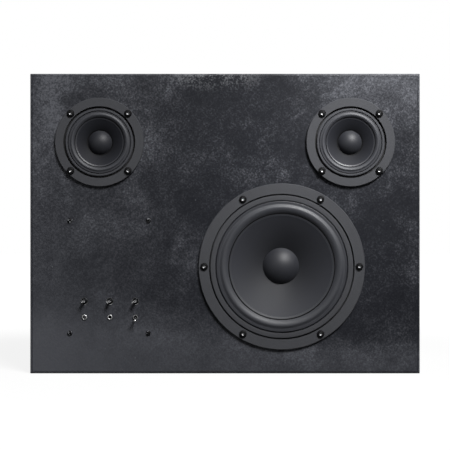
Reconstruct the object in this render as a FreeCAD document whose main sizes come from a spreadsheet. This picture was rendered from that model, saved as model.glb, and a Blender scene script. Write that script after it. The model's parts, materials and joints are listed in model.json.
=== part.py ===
import FreeCAD, Part
import os
import re
from collections import namedtuple

import Sketcher
from FreeCAD import Placement, Rotation, Vector

# Powered speaker: a folded steel cabinet with one woofer, two small drivers and a built-in amplifier.
# Millimetres, +Z up, listener on the -Y side, origin at the middle of the cabinet's underside.
# Front pieces are drawn in a panel frame: across to the right, up, and level, which is the distance
# out of the panel towards the listener, with level 0 at the panel's outer face.

# Driving sizes of the cabinet and of what all three drivers share
CABINET_SIZES = {
    "cabinet_width": 468,
    "cabinet_height": 360,
    "cabinet_depth": 160,
    "sheet": 2,
    "bend_radius": 2.5,
    "seam_radius": 0.8,
    "return_width": 15,
    "back_recess": 4,
    "back_gap": 0.8,
    "seal_thickness": 1,
    "back_screw_head": 4,
    "back_screw_rise": 2.4,
    "back_screw_shank": 1.9,
    "back_screw_length": 9,
    "back_screw_edge": 9,
    "foam_thickness": 20,
    "foam_left": -60,
    "foam_margin": 24,
    "flange_thickness": 4,
    "flange_bevel": 0.6,
    "seat_depth": 3.2,
    "gasket_height": 1.9,
    "rubber": 0.8,
    "cone_paper": 0.8,
    "cap_paper": 0.7,
    "collar": 2.5,
    "glue_line": 0.15,
    "former": 0.3,
    "winding": 0.6,
    "spider_cloth": 0.6,
    "screw_head": 4.5,
    "screw_rise": 2.6,
    "screw_shank": 2.4,
    "screw_length": 11,
    "screw_play": 0.2,
}

# Driving sizes of each kind of driver: radii, levels and heights
DRIVER_SIZES = {
    "woofer": {
        "flange_radius": 99.6, "recess_radius": 87.2, "throat_radius": 78, "cutout_radius": 82,
        "wall": 2.5, "shoulder_level": -4, "ledge_level": -30, "ledge_radius": 52, "tub_radius": 44,
        "plate_level": -45, "coil_hole": 16, "window_inner": 57, "window_outer": 76,
        "window_inner_half": 20, "window_outer_half": 28, "window_count": 6,
        "gasket_outer": 86, "gasket_inner": 79.5, "roll_outer": 77, "roll_inner": 64.2,
        "roll_height": 3, "lip_inner": 60.6, "neck_radius": 13.3, "neck_level": -24,
        "cap_radius": 22, "cap_height": 11, "winding_height": 14, "former_tail": 2,
        "spider_wave": 1.2, "plate_radius": 40, "plate_bore": 14.5, "plate_thickness": 6,
        "magnet_radius": 45, "magnet_bore": 22, "magnet_height": 15, "yoke_radius": 42,
        "yoke_thickness": 6, "pole_radius": 12.4, "vent_radius": 5, "pole_rise": 0.5,
        "screw_circle": 93, "screw_count": 6, "screw_turn": 0,
    },
    "small": {
        "flange_radius": 53.2, "recess_radius": 43, "throat_radius": 37.6, "cutout_radius": 41,
        "wall": 1.8, "shoulder_level": -3, "ledge_level": -13, "ledge_radius": 27, "tub_radius": 22,
        "plate_level": -22, "coil_hole": 13, "window_inner": 30, "window_outer": 36,
        "window_inner_half": 12, "window_outer_half": 15, "window_count": 4,
        "gasket_outer": 40.9, "gasket_inner": 37.8, "roll_outer": 37, "roll_inner": 30,
        "roll_height": 1.9, "lip_inner": 27.6, "neck_radius": 10.3, "neck_level": -8.5,
        "cap_radius": 14.4, "cap_height": 8, "winding_height": 8, "former_tail": 1.5,
        "spider_wave": 0.6, "plate_radius": 21, "plate_bore": 11.4, "plate_thickness": 4,
        "magnet_radius": 29, "magnet_bore": 15, "magnet_height": 9, "yoke_radius": 27,
        "yoke_thickness": 4, "pole_radius": 9.5, "vent_radius": 3, "pole_rise": 0.5,
        "screw_circle": 48.5, "screw_count": 4, "screw_turn": 45,
    },
}

# Where the drivers sit on the panel: across from its middle, up from its foot
PLACE_SIZES = {
    "woofer_across": 68,
    "woofer_up": 128.5,
    "small_across": 150.5,
    "small_up": 277.5,
}

# Driving sizes of the amplifier module, its controls and the mains inlet
MODULE_SIZES = {
    "module_across": -139,
    "module_up": 116,
    "module_hole_width": 94,
    "module_hole_height": 135,
    "module_screw_head": 3,
    "module_screw_rise": 1.8,
    "module_screw_shank": 1.4,
    "module_screw_length": 15,
    "module_screw_hole": 1.65,
    "spacer_radius": 3.2,
    "tray_width": 108,
    "tray_height": 150,
    "tray_level": -12.5,
    "tray_sheet": 1.5,
    "tray_back": -31.5,
    "tray_return": 9,
    "board_width": 104,
    "board_height": 146,
    "board_thickness": 1.6,
    "sink_width": 84,
    "sink_height": 36,
    "sink_base": 4,
    "sink_up": 44,
    "fin_thickness": 1.6,
    "fin_height": 20,
    "fin_count": 9,
    "core_width": 44,
    "core_height": 38,
    "core_thickness": 16,
    "coil_width": 27,
    "coil_overhang": 6,
    "coil_thickness": 30,
    "transformer_across": 20,
    "transformer_up": -38,
    "can_radius": 9,
    "can_height": 32,
    "can_across": -30,
    "can_up": -38,
    "can_pitch": 24,
    "control_across": -138,
    "control_pitch": 30.6,
    "knob_row_up": 87,
    "socket_row_up": 67.7,
    "panel_play": 0.3,
    "control_hole": 4.5,
    "bushing_radius": 3.6,
    "bushing_level": -0.5,
    "bushing_bevel": 0.2,
    "pot_radius": 8.2,
    "pot_depth": 8,
    "pot_floor": 1.5,
    "wafer_width": 12,
    "wafer_drop": 11,
    "wafer_thickness": 1.6,
    "shaft_radius": 3,
    "shaft_play": 0.05,
    "shaft_rise": 11,
    "shaft_bevel": 0.5,
    "slot_width": 1.2,
    "slot_depth": 2.2,
    "bezel_radius": 3.3,
    "bezel_rise": 1.2,
    "bezel_bevel": 0.5,
    "bezel_tube": 2.5,
    "bezel_depth": 6,
    "lamp_radius": 1.9,
    "lamp_level": 0.3,
    "lamp_dome": 1.1,
    "lamp_depth": 9,
    "jack_radius": 3.05,
    "jack_rise": 1.2,
    "jack_bore": 1.8,
    "jack_bore_depth": 16,
    "jack_body": 11,
    "jack_body_depth": 12,
    "switch_radius": 3,
    "switch_rise": 1.5,
    "switch_bore": 2.2,
    "switch_bore_depth": 9,
    "switch_width": 8,
    "switch_height": 13,
    "switch_depth": 10,
    "lever_pivot": -0.5,
    "lever_tilt": 16,
    "lever_neck": 1,
    "lever_neck_length": 3,
    "lever_tip": 1.5,
    "lever_length": 14,
    "lever_tail": 3,
    "lever_pin": 0.6,
    "lever_pin_length": 5,
    "inlet_across": -139,
    "inlet_up": 62,
    "inlet_flange_width": 31,
    "inlet_flange_height": 24,
    "inlet_flange_rise": 2,
    "inlet_corner": 2,
    "inlet_body_width": 27,
    "inlet_body_height": 19.6,
    "inlet_body_depth": 22,
    "inlet_mouth_width": 24.4,
    "inlet_mouth_height": 16.6,
    "inlet_mouth_cut": 5,
    "inlet_mouth_depth": 20,
    "pin_width": 2,
    "pin_height": 4,
    "pin_length": 15,
    "pin_pitch": 7,
    "pin_earth_up": 2,
    "pin_line_up": -2,
}

SIZES = {**CABINET_SIZES, **PLACE_SIZES, **MODULE_SIZES}
for kind, sizes in DRIVER_SIZES.items():
    SIZES.update({f"{kind}_{name}": size for name, size in sizes.items()})

FACING_FRONT = Rotation(Vector(1, 0, 0), 90)
FACING_BACK = Rotation(Vector(0, 1, 1), 180)
PANEL_Y = "-cabinet_depth / 2"
BACK_Y = "cabinet_depth / 2 - back_recess"
BACK_LEVEL = "back_recess - cabinet_depth"
SPIDER_WAVES = 3

# A side of an outline that bows through a point, and one that is centred on the axis of revolution
Bow = namedtuple("Bow", "across along")
DOME = "dome"

doc = FreeCAD.newDocument("PoweredSpeaker")
sheet = doc.addObject("Spreadsheet::Sheet", "Sizes")
parts = []


def fill_sheet():
    """Write every driving size to a cell of its own and give the cell the size's name."""
    for row, (name, size) in enumerate(SIZES.items(), start=1):
        sheet.set(f"A{row}", name)
        sheet.set(f"B{row}", str(size))
        sheet.setAlias(f"B{row}", name)
    doc.recompute()


def cells(expression):
    """The expression with each size's name pointing at its cell."""
    return re.sub(r"[a-z]\w*", lambda word: f"Sizes.{word[0]}" if word[0] in SIZES else word[0], expression)


def value(expression):
    return float(sheet.evalExpression(cells(expression)))


def bind(item, path, expression):
    item.setExpression(path, cells(expression))


def new_body(label, across="0", up="0", depth=PANEL_Y, turn=FACING_FRONT):
    """A body whose own frame stands on the front panel, or on the back with FACING_BACK."""
    body = doc.addObject("PartDesign::Body", label)
    body.Label = label
    body.Placement = Placement(Vector(value(across), value(depth), value(up)), turn)
    for axis, place in (("x", across), ("y", depth), ("z", up)):
        bind(body, f"Placement.Base.{axis}", place)
    parts.append(body)
    return body


def new_sketch(body, plane="XY_Plane", level="0"):
    """An empty sketch on one of the body's own planes, moved along the plane's normal by level."""
    sketch = body.newObject("Sketcher::SketchObject", "Sketch")
    support = next(item for item in body.Origin.OriginFeatures if item.Role == plane)
    sketch.AttachmentSupport = (support, "")
    sketch.MapMode = "FlatFace"
    sketch.AttachmentOffset = Placement(Vector(0, 0, value(level)), Rotation())
    bind(sketch, "AttachmentOffset.Base.z", level)
    return sketch


def hold(sketch, constraint, expression):
    """Add a driving constraint whose value comes from the sheet."""
    bind(sketch, f"Constraints[{sketch.addConstraint(constraint)}]", expression)


def pin(sketch, geometry, spot, across, along):
    """Hold one point of the sketch at a place measured from the sketch's origin."""
    hold(sketch, Sketcher.Constraint("DistanceX", -1, 1, geometry, spot, value(across)), across)
    hold(sketch, Sketcher.Constraint("DistanceY", -1, 1, geometry, spot, value(along)), along)


def point(step):
    return Vector(value(step[0]), value(step[1]), 0)


def dome_middle(start, end):
    """A point on the arc from start to end whose centre lies on the sketch's upright axis."""
    lift = (start.x**2 + start.y**2 - end.x**2 - end.y**2) / (2 * (start.y - end.y))
    centre = Vector(0, lift, 0)
    towards = (start + end) * 0.5 - centre
    return centre + towards.normalize() * (start - centre).Length


def draw_outline(sketch, steps):
    """Closed outline through the steps: corners (across, along), with a Bow or DOME where a side curves."""
    corners = [step for step in steps if not isinstance(step, Bow) and step != DOME]
    bends = [steps[(steps.index(corner) + 1) % len(steps)] for corner in corners]
    sides = []
    for number, corner in enumerate(corners):
        bend = bends[number]
        start = point(corner)
        end = point(corners[(number + 1) % len(corners)])
        if isinstance(bend, Bow) or bend == DOME:
            middle = dome_middle(start, end) if bend == DOME else point(bend)
            side = sketch.addGeometry(Part.Arc(start, middle, end))
        else:
            side = sketch.addGeometry(Part.LineSegment(start, end))
        forward = sketch.getPoint(side, 1).distanceToPoint(start) < 1e-6
        sides.append((side, 1 if forward else 2, 2 if forward else 1))
    for number, (side, first, last) in enumerate(sides):
        following, following_first, _ = sides[(number + 1) % len(sides)]
        sketch.addConstraint(Sketcher.Constraint("Coincident", side, last, following, following_first))
        pin(sketch, side, first, *corners[number])
        bend = bends[number]
        if bend == DOME:
            sketch.addConstraint(Sketcher.Constraint("PointOnObject", side, 3, -2))
        elif isinstance(bend, Bow):
            mark = sketch.addGeometry(Part.Point(point(bend)), True)
            pin(sketch, mark, 1, *bend)
            sketch.addConstraint(Sketcher.Constraint("PointOnObject", mark, 1, side))


def draw_rectangle(sketch, left, bottom, right, top):
    draw_outline(sketch, [(left, bottom), (right, bottom), (right, top), (left, top)])


def draw_centred(sketch, width, height, across="0", up="0"):
    """A rectangle about a middle point."""
    left = f"({across}) - ({width}) / 2"
    bottom = f"({up}) - ({height}) / 2"
    draw_rectangle(sketch, left, bottom, f"({across}) + ({width}) / 2", f"({up}) + ({height}) / 2")


def draw_circles(sketch, centres, radius):
    for centre in centres:
        circle = sketch.addGeometry(Part.Circle(point(centre), Vector(0, 0, 1), value(radius)))
        pin(sketch, circle, 3, *centre)
        hold(sketch, Sketcher.Constraint("Radius", circle, value(radius)), radius)


def pad(body, sketch, length, forward=False, symmetric=False):
    """Raise the sketch into a solid: into the cabinet unless forward, or evenly both ways."""
    feature = body.newObject("PartDesign::Pad", "Pad")
    feature.Profile = sketch
    bind(feature, "Length", length)
    feature.Midplane = symmetric
    feature.Reversed = not forward and not symmetric
    doc.recompute()
    return feature


def pocket(body, sketch, depth, forward=False, symmetric=False):
    """Cut the sketch into the solid and make sure that something was cut."""
    before = body.Shape.Volume
    feature = body.newObject("PartDesign::Pocket", "Pocket")
    feature.Profile = sketch
    bind(feature, "Length", depth)
    feature.Midplane = symmetric
    feature.Reversed = forward
    doc.recompute()
    if not body.Shape.Volume < before:
        raise RuntimeError(f"a pocket in {body.Label} cuts nothing")
    return feature


def repeat_round(body, feature, count):
    """Repeat a feature evenly about the body's own level axis."""
    pattern = body.newObject("PartDesign::PolarPattern", "Pattern")
    pattern.Originals = [feature]
    axis = next(item for item in body.Origin.OriginFeatures if item.Role == "Z_Axis")
    pattern.Axis = (axis, [""])
    pattern.Angle = 360
    bind(pattern, "Occurrences", count)
    body.Tip = pattern
    doc.recompute()


def repeat_across(body, feature, span, count):
    """Repeat a feature in an even row whose first and last copies are span apart."""
    pattern = body.newObject("PartDesign::LinearPattern", "Row")
    pattern.Originals = [feature]
    axis = next(item for item in body.Origin.OriginFeatures if item.Role == "X_Axis")
    pattern.Direction = (axis, [""])
    bind(pattern, "Length", span)
    bind(pattern, "Occurrences", count)
    body.Tip = pattern
    doc.recompute()


def round_edges(body, radius, chosen):
    """Round every edge of the body's last feature that the test chooses, in the body's own frame."""
    base = body.Tip
    names = [f"Edge{number}" for number, edge in enumerate(base.Shape.Edges, start=1) if chosen(edge)]
    fillet = body.newObject("PartDesign::Fillet", "Rounded")
    fillet.Base = (base, names)
    bind(fillet, "Radius", radius)
    doc.recompute()


def runs_along_level(edge):
    box = edge.BoundBox
    return box.ZLength > 1e-6 and box.XLength < 1e-6 and box.YLength < 1e-6


def lies_at_level(level):
    """A test for the edges that lie flat at one level."""
    def chosen(edge):
        return abs(edge.BoundBox.ZMin - level) < 1e-6 and abs(edge.BoundBox.ZMax - level) < 1e-6
    return chosen


def turned(label, outline, across="0", up="0"):
    """A piece of revolution about its own level axis, from an outline of (radius, level) steps."""
    body = new_body(label, across, up)
    turn_outline(body, outline)
    return body


def turn_outline(body, outline, offset="0"):
    """Revolve an outline about an upright axis that stands off the body's own axis by offset."""
    sketch = new_sketch(body, "XZ_Plane")
    sketch.AttachmentOffset = Placement(Vector(value(offset), 0, 0), Rotation())
    bind(sketch, "AttachmentOffset.Base.x", offset)
    draw_outline(sketch, outline)
    feature = body.newObject("PartDesign::Revolution", "Turned")
    feature.Profile = sketch
    feature.ReferenceAxis = (sketch, ["V_Axis"])
    feature.Angle = 360
    doc.recompute()
    return feature


def ring(inner, outer, low, high):
    """Outline of a plain ring."""
    return [(inner, low), (outer, low), (outer, high), (inner, high)]


def button_screw(head, rise, shank, length, seat):
    """Outline of a screw with a domed head that sits on a surface at level seat."""
    return [
        ("0", f"{seat} + {rise}"), DOME, (head, f"{seat} + {rise} / 4"), (head, seat),
        (shank, seat), (shank, f"{seat} - {length}"), ("0", f"{seat} - {length}"),
    ]


# Cabinet

def back_screw_places(side="1"):
    """Middles of the back panel's screws. The side is -1 where across runs the other way."""
    reach = f"({side}) * (cabinet_width / 2 - back_screw_edge)"
    low = "back_screw_edge"
    high = "cabinet_height - back_screw_edge"
    middle = "cabinet_height / 2"
    columns = (f"-({reach})", "0", reach)
    return [(across, up) for up in (low, high) for across in columns] + [
        (columns[0], middle), (columns[2], middle)
    ]


def rectangle_places(across, up, width, height):
    """The four corners of a rectangle about a middle point."""
    return [
        (f"{across} + {x} * {width} / 2", f"{up} + {y} * {height} / 2")
        for x in (-1, 1) for y in (-1, 1)
    ]


def control_column(number):
    """Across position of a column of controls: -1 left, 0 middle, 1 right."""
    return f"control_across + {number} * control_pitch"


def make_cabinet_shell():
    """Front, sides, top and bottom folded from one sheet, with a return flange for the back panel."""
    body = new_body("cabinet_shell")
    half = "cabinet_width / 2"
    inner = f"{half} - sheet"
    outline = new_sketch(body)
    draw_rectangle(outline, f"-{half}", "0", half, "cabinet_height")
    pad(body, outline, "cabinet_depth")
    round_edges(body, "seam_radius", runs_along_level)
    round_edges(body, "bend_radius", lies_at_level(0))
    hollow = new_sketch(body, level="-cabinet_depth")
    draw_rectangle(hollow, f"-({inner})", "sheet", inner, "cabinet_height - sheet")
    pocket(body, hollow, "cabinet_depth - sheet", forward=True)
    flange_level = f"{BACK_LEVEL} + sheet + seal_thickness"
    flange = new_sketch(body, level=flange_level)
    draw_rectangle(flange, f"-({inner})", "sheet", inner, "cabinet_height - sheet")
    edge = f"{inner} - return_width"
    border = "sheet + return_width"
    draw_rectangle(flange, f"-({edge})", border, edge, f"cabinet_height - ({border})")
    pad(body, flange, "sheet", forward=True)
    flange_holes = new_sketch(body, level=f"{flange_level} + sheet")
    draw_circles(flange_holes, back_screw_places(), "back_screw_shank + screw_play")
    pocket(body, flange_holes, "sheet")
    make_panel_holes(body)


def make_panel_holes(body):
    """Holes of the front panel: drivers, their screws, the module's screws and the controls."""
    holes = new_sketch(body)
    small_places = [("small_across", "small_up"), ("-small_across", "small_up")]
    woofer_place = ("woofer_across", "woofer_up")
    draw_circles(holes, [woofer_place], "woofer_cutout_radius")
    draw_circles(holes, small_places, "small_cutout_radius")
    clear = "screw_shank + screw_play"
    draw_circles(holes, screw_places("woofer", woofer_place), clear)
    for place in small_places:
        draw_circles(holes, screw_places("small", place), clear)
    module = ("module_across", "module_up", "module_hole_width", "module_hole_height")
    draw_circles(holes, rectangle_places(*module), "module_screw_hole")
    for column in (-1, 0, 1):
        draw_circles(holes, [(control_column(column), "knob_row_up")], "control_hole")
    for column, radius in ((-1, "bezel_tube"), (0, "jack_radius"), (1, "switch_radius")):
        draw_circles(holes, [(control_column(column), "socket_row_up")], f"{radius} + panel_play")
    pocket(body, holes, "sheet")


def screw_places(kind, middle):
    """Middles of a driver's flange screws on the panel."""
    places = []
    for number in range(DRIVER_SIZES[kind]["screw_count"]):
        angle = f"({kind}_screw_turn + 360 * {number} / {kind}_screw_count)"
        across = f"{middle[0]} + {kind}_screw_circle * cos({angle})"
        places.append((across, f"{middle[1]} + {kind}_screw_circle * sin({angle})"))
    return places


def make_back():
    """Back panel set into the cabinet's mouth on a foam seal, its screws and the damping foam behind it."""
    panel = new_body("back_panel")
    half = "cabinet_width / 2 - sheet - back_gap"
    foot = "sheet + back_gap"
    top = "cabinet_height - sheet - back_gap"
    outline = new_sketch(panel, level=BACK_LEVEL)
    draw_rectangle(outline, f"-({half})", foot, half, top)
    pad(panel, outline, "sheet", forward=True)
    holes = new_sketch(panel, level=f"{BACK_LEVEL} + sheet")
    draw_circles(holes, back_screw_places(), "back_screw_shank + screw_play")
    opening = ("inlet_body_width + 2 * panel_play", "inlet_body_height + 2 * panel_play")
    draw_centred(holes, *opening, "inlet_across", "inlet_up")
    pocket(panel, holes, "sheet")

    seal = new_body("back_seal")
    strip = new_sketch(seal, level=f"{BACK_LEVEL} + sheet")
    draw_rectangle(strip, f"-({half})", foot, half, top)
    border = "sheet + return_width"
    edge = f"cabinet_width / 2 - ({border})"
    draw_rectangle(strip, f"-({edge})", border, edge, f"cabinet_height - ({border})")
    draw_circles(strip, back_screw_places(), "back_screw_shank + screw_play")
    pad(seal, strip, "seal_thickness", forward=True)

    screws = new_body("back_screws", depth=BACK_Y, turn=FACING_BACK)
    heads = new_sketch(screws)
    draw_circles(heads, back_screw_places("-1"), "back_screw_head")
    pad(screws, heads, "back_screw_rise", forward=True)
    shanks = new_sketch(screws)
    draw_circles(shanks, back_screw_places("-1"), "back_screw_shank")
    pad(screws, shanks, "back_screw_length")

    foam = new_body("damping_foam")
    slab = new_sketch(foam, level=f"{BACK_LEVEL} + sheet")
    right = "cabinet_width / 2 - foam_margin"
    draw_rectangle(slab, "foam_left", "foam_margin", right, "cabinet_height - foam_margin")
    pad(foam, slab, "foam_thickness", forward=True)


# Drivers

def make_basket(kind, label, across, up):
    """Cast frame: flange with a gasket recess, windowed cone wall, spider ledge and motor plate."""
    def k(name):
        return f"{kind}_{name}"
    seat = "flange_thickness - seat_depth"
    floor = f"{k('plate_level')} + {k('wall')}"
    body = turned(label, [
        (k("flange_radius"), "0"),
        (k("flange_radius"), "flange_thickness - flange_bevel"),
        (f"{k('flange_radius')} - flange_bevel", "flange_thickness"),
        (k("recess_radius"), "flange_thickness"),
        (k("recess_radius"), seat),
        (k("throat_radius"), seat),
        (k("throat_radius"), k("shoulder_level")),
        (k("ledge_radius"), k("ledge_level")),
        (k("tub_radius"), k("ledge_level")),
        (k("tub_radius"), floor),
        (k("coil_hole"), floor),
        (k("coil_hole"), k("plate_level")),
        (f"{k('tub_radius')} + {k('wall')}", k("plate_level")),
        (f"{k('tub_radius')} + {k('wall')}", f"{k('ledge_level')} - {k('wall')}"),
        (f"{k('ledge_radius')} + {k('wall')}", f"{k('ledge_level')} - {k('wall')}"),
        (f"{k('throat_radius')} + {k('wall')}", f"{k('shoulder_level')} - {k('wall')}"),
        (f"{k('throat_radius')} + {k('wall')}", "0"),
    ], across, up)
    window = new_sketch(body, level=f"{k('shoulder_level')} - {k('wall')}")
    draw_outline(window, [
        (k("window_inner"), f"-{k('window_inner_half')}"),
        (k("window_outer"), f"-{k('window_outer_half')}"),
        (k("window_outer"), k("window_outer_half")),
        (k("window_inner"), k("window_inner_half")),
    ])
    opening = pocket(body, window, f"{k('shoulder_level')} - {k('plate_level')}")
    repeat_round(body, opening, k("window_count"))
    holes = new_sketch(body, level="flange_thickness")
    draw_circles(holes, screw_places(kind, ("0", "0")), "screw_shank + screw_play")
    pocket(body, holes, "flange_thickness")


def make_moving_cone(kind, label, across, up):
    """Front gasket, rubber surround, paper cone and dust cap."""
    def k(name):
        return f"{kind}_{name}"
    seat = "(flange_thickness - seat_depth)"
    lip = f"({seat} + rubber)"
    turned(f"{label}_front_gasket",
           ring(k("gasket_inner"), k("gasket_outer"), lip, f"{lip} + gasket_height"), across, up)

    crest = f"({k('roll_inner')} + {k('roll_outer')}) / 2"
    turned(f"{label}_surround", [
        (k("lip_inner"), seat),
        (f"{k('roll_inner')} + rubber", seat),
        Bow(crest, f"{seat} + {k('roll_height')}"),
        (f"{k('roll_outer')} - rubber", seat),
        (k("gasket_outer"), seat),
        (k("gasket_outer"), lip),
        (k("roll_outer"), lip),
        Bow(crest, f"{lip} + {k('roll_height')}"),
        (k("roll_inner"), lip),
        (k("lip_inner"), lip),
    ], across, up)

    slope = f"(({seat} - {k('neck_level')}) / ({k('lip_inner')} - {k('neck_radius')}))"
    turned(f"{label}_cone", [
        (k("neck_radius"), f"{k('neck_level')} - collar"),
        (f"{k('neck_radius')} + cone_paper", f"{k('neck_level')} - collar"),
        (f"{k('neck_radius')} + cone_paper", f"{k('neck_level')} - cone_paper * (1 - {slope})"),
        (k("lip_inner"), f"{seat} - cone_paper"),
        (k("roll_inner"), f"{seat} - cone_paper"),
        (k("roll_inner"), seat),
        (k("lip_inner"), seat),
        (k("neck_radius"), k("neck_level")),
    ], across, up)

    rim = f"({k('neck_level')} + ({k('cap_radius')} - {k('neck_radius')}) * {slope})"
    turned(f"{label}_dust_cap", [
        (k("cap_radius"), rim),
        DOME,
        ("0", f"{rim} + {k('cap_height')}"),
        ("0", f"{rim} + {k('cap_height')} - cap_paper"),
        DOME,
        (f"{k('cap_radius')} - cap_paper", f"{rim} - cap_paper * {slope}"),
    ], across, up)


def make_motor(kind, label, across, up):
    """Voice coil, spider, top plate, ring magnet and the yoke with its pole."""
    def k(name):
        return f"{kind}_{name}"
    gap_middle = f"({k('plate_level')} - {k('plate_thickness')} / 2)"
    winding_top = f"{gap_middle} + {k('winding_height')} / 2"
    winding_foot = f"{gap_middle} - {k('winding_height')} / 2"
    tail = f"{winding_foot} - {k('former_tail')}"
    turned(f"{label}_voice_coil", [
        (f"{k('neck_radius')} - former", tail),
        (k("neck_radius"), tail),
        (k("neck_radius"), winding_foot),
        (f"{k('neck_radius')} + winding", winding_foot),
        (f"{k('neck_radius')} + winding", winding_top),
        (k("neck_radius"), winding_top),
        (k("neck_radius"), k("neck_level")),
        (f"{k('neck_radius')} - former", k("neck_level")),
    ], across, up)

    collar = f"{k('neck_radius')} + cone_paper + 1"
    hem = f"{k('tub_radius')} - 1"
    crests = []
    for number in range(1, 2 * SPIDER_WAVES):
        radius = f"{collar} + ({hem} - ({collar})) * {number} / {2 * SPIDER_WAVES}"
        sign = "+" if number % 2 else "-"
        crests.append((radius, f"{k('ledge_level')} {sign} {k('spider_wave')}"))
    under = [(f"{k('neck_radius')} + glue_line", k("ledge_level")), (collar, k("ledge_level"))]
    under += crests + [(hem, k("ledge_level")), (f"{k('ledge_radius')} - 1", k("ledge_level"))]
    over = [(radius, f"{level} + spider_cloth") for radius, level in reversed(under)]
    turned(f"{label}_spider", under + over, across, up)

    plate_back = f"({k('plate_level')} - {k('plate_thickness')})"
    magnet_back = f"({plate_back} - {k('magnet_height')})"
    yoke_back = f"({magnet_back} - {k('yoke_thickness')})"
    pole_top = f"{k('plate_level')} + {k('pole_rise')}"
    turned(f"{label}_top_plate",
           ring(k("plate_bore"), k("plate_radius"), plate_back, k("plate_level")), across, up)
    turned(f"{label}_magnet",
           ring(k("magnet_bore"), k("magnet_radius"), magnet_back, plate_back), across, up)
    turned(f"{label}_yoke", [
        (k("vent_radius"), yoke_back),
        (k("yoke_radius"), yoke_back),
        (k("yoke_radius"), magnet_back),
        (k("pole_radius"), magnet_back),
        (k("pole_radius"), pole_top),
        (k("vent_radius"), pole_top),
    ], across, up)


def make_driver(kind, label, across, up):
    """One whole driver and the screws that hold its flange to the panel."""
    make_basket(kind, f"{label}_basket", across, up)
    make_moving_cone(kind, label, across, up)
    make_motor(kind, label, across, up)
    turn = FACING_FRONT.multiply(Rotation(Vector(0, 0, 1), value(f"{kind}_screw_turn")))
    screws = new_body(f"{label}_screws", across, up, turn=turn)
    screw = button_screw("screw_head", "screw_rise", "screw_shank", "screw_length", "flange_thickness")
    repeat_round(screws, turn_outline(screws, screw, f"{kind}_screw_circle"), f"{kind}_screw_count")


# Amplifier module

def make_module():
    """Folded tray behind the panel, its spacers and screws, and the amplifier board with its large parts."""
    corners = rectangle_places("0", "0", "module_hole_width", "module_hole_height")
    middle = ("module_across", "module_up")
    tray = new_body("module_tray", *middle)
    half = "tray_width / 2"
    wall = f"{half} - tray_sheet"
    web = "tray_level - tray_sheet"
    lip = f"{half} - tray_return"
    fold = "tray_back + tray_sheet"
    right = [
        (half, "tray_level"), (half, "tray_back"), (lip, "tray_back"),
        (lip, fold), (wall, fold), (wall, web),
    ]
    left = [(f"-({across})", level) for across, level in reversed(right)]
    section = new_sketch(tray, "XZ_Plane")
    draw_outline(section, right + left)
    pad(tray, section, "tray_height", symmetric=True)
    holes = new_sketch(tray, level="tray_level")
    draw_circles(holes, corners, "module_screw_hole")
    knob_row = "knob_row_up - module_up"
    socket_row = "socket_row_up - module_up"
    for column in (-1, 0, 1):
        across = f"{control_column(column)} - module_across"
        draw_circles(holes, [(across, knob_row)], "bushing_radius + panel_play")
    for column, radius in ((0, "jack_radius"), (1, "switch_radius")):
        across = f"{control_column(column)} - module_across"
        draw_circles(holes, [(across, socket_row)], f"{radius} + panel_play")
    pocket(tray, holes, "tray_sheet")

    spacers = new_body("module_spacers", *middle)
    tubes = new_sketch(spacers, level="-sheet")
    draw_circles(tubes, corners, "spacer_radius")
    draw_circles(tubes, corners, "module_screw_hole")
    pad(spacers, tubes, "-tray_level - sheet")

    screws = new_body("module_screws", *middle)
    heads = new_sketch(screws)
    draw_circles(heads, corners, "module_screw_head")
    pad(screws, heads, "module_screw_rise", forward=True)
    shanks = new_sketch(screws)
    draw_circles(shanks, corners, "module_screw_shank")
    pad(screws, shanks, "module_screw_length")

    board = new_body("amplifier_board", *middle)
    sheet_outline = new_sketch(board, level="tray_back")
    draw_centred(sheet_outline, "board_width", "board_height")
    pad(board, sheet_outline, "board_thickness")
    make_board_parts(middle, "tray_back - board_thickness")


def make_board_parts(middle, level):
    """Heat sink, mains transformer and reservoir capacitors on the rear of the board."""
    sink = new_body("heat_sink", *middle)
    base = new_sketch(sink, level=level)
    draw_centred(base, "sink_width", "sink_height", up="sink_up")
    pad(sink, base, "sink_base")
    fin = new_sketch(sink, level=f"{level} - sink_base")
    left = "-sink_width / 2"
    foot = "sink_up - sink_height / 2"
    draw_rectangle(fin, left, foot, f"{left} + fin_thickness", "sink_up + sink_height / 2")
    repeat_across(sink, pad(sink, fin, "fin_height"), "sink_width - fin_thickness", "fin_count")

    transformer = new_body("mains_transformer", *middle)
    place = ("transformer_across", "transformer_up")
    core = new_sketch(transformer, level=f"{level} - (coil_thickness - core_thickness) / 2")
    draw_centred(core, "core_width", "core_height", *place)
    pad(transformer, core, "core_thickness")
    coil = new_sketch(transformer, level=level)
    draw_centred(coil, "coil_width", "core_height + 2 * coil_overhang", *place)
    pad(transformer, coil, "coil_thickness")

    capacitors = new_body("reservoir_capacitors", *middle)
    cans = new_sketch(capacitors, level=level)
    draw_circles(cans, [("can_across", f"can_up + {side} * can_pitch / 2") for side in (-1, 1)], "can_radius")
    pad(capacitors, cans, "can_height")


# Controls

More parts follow.
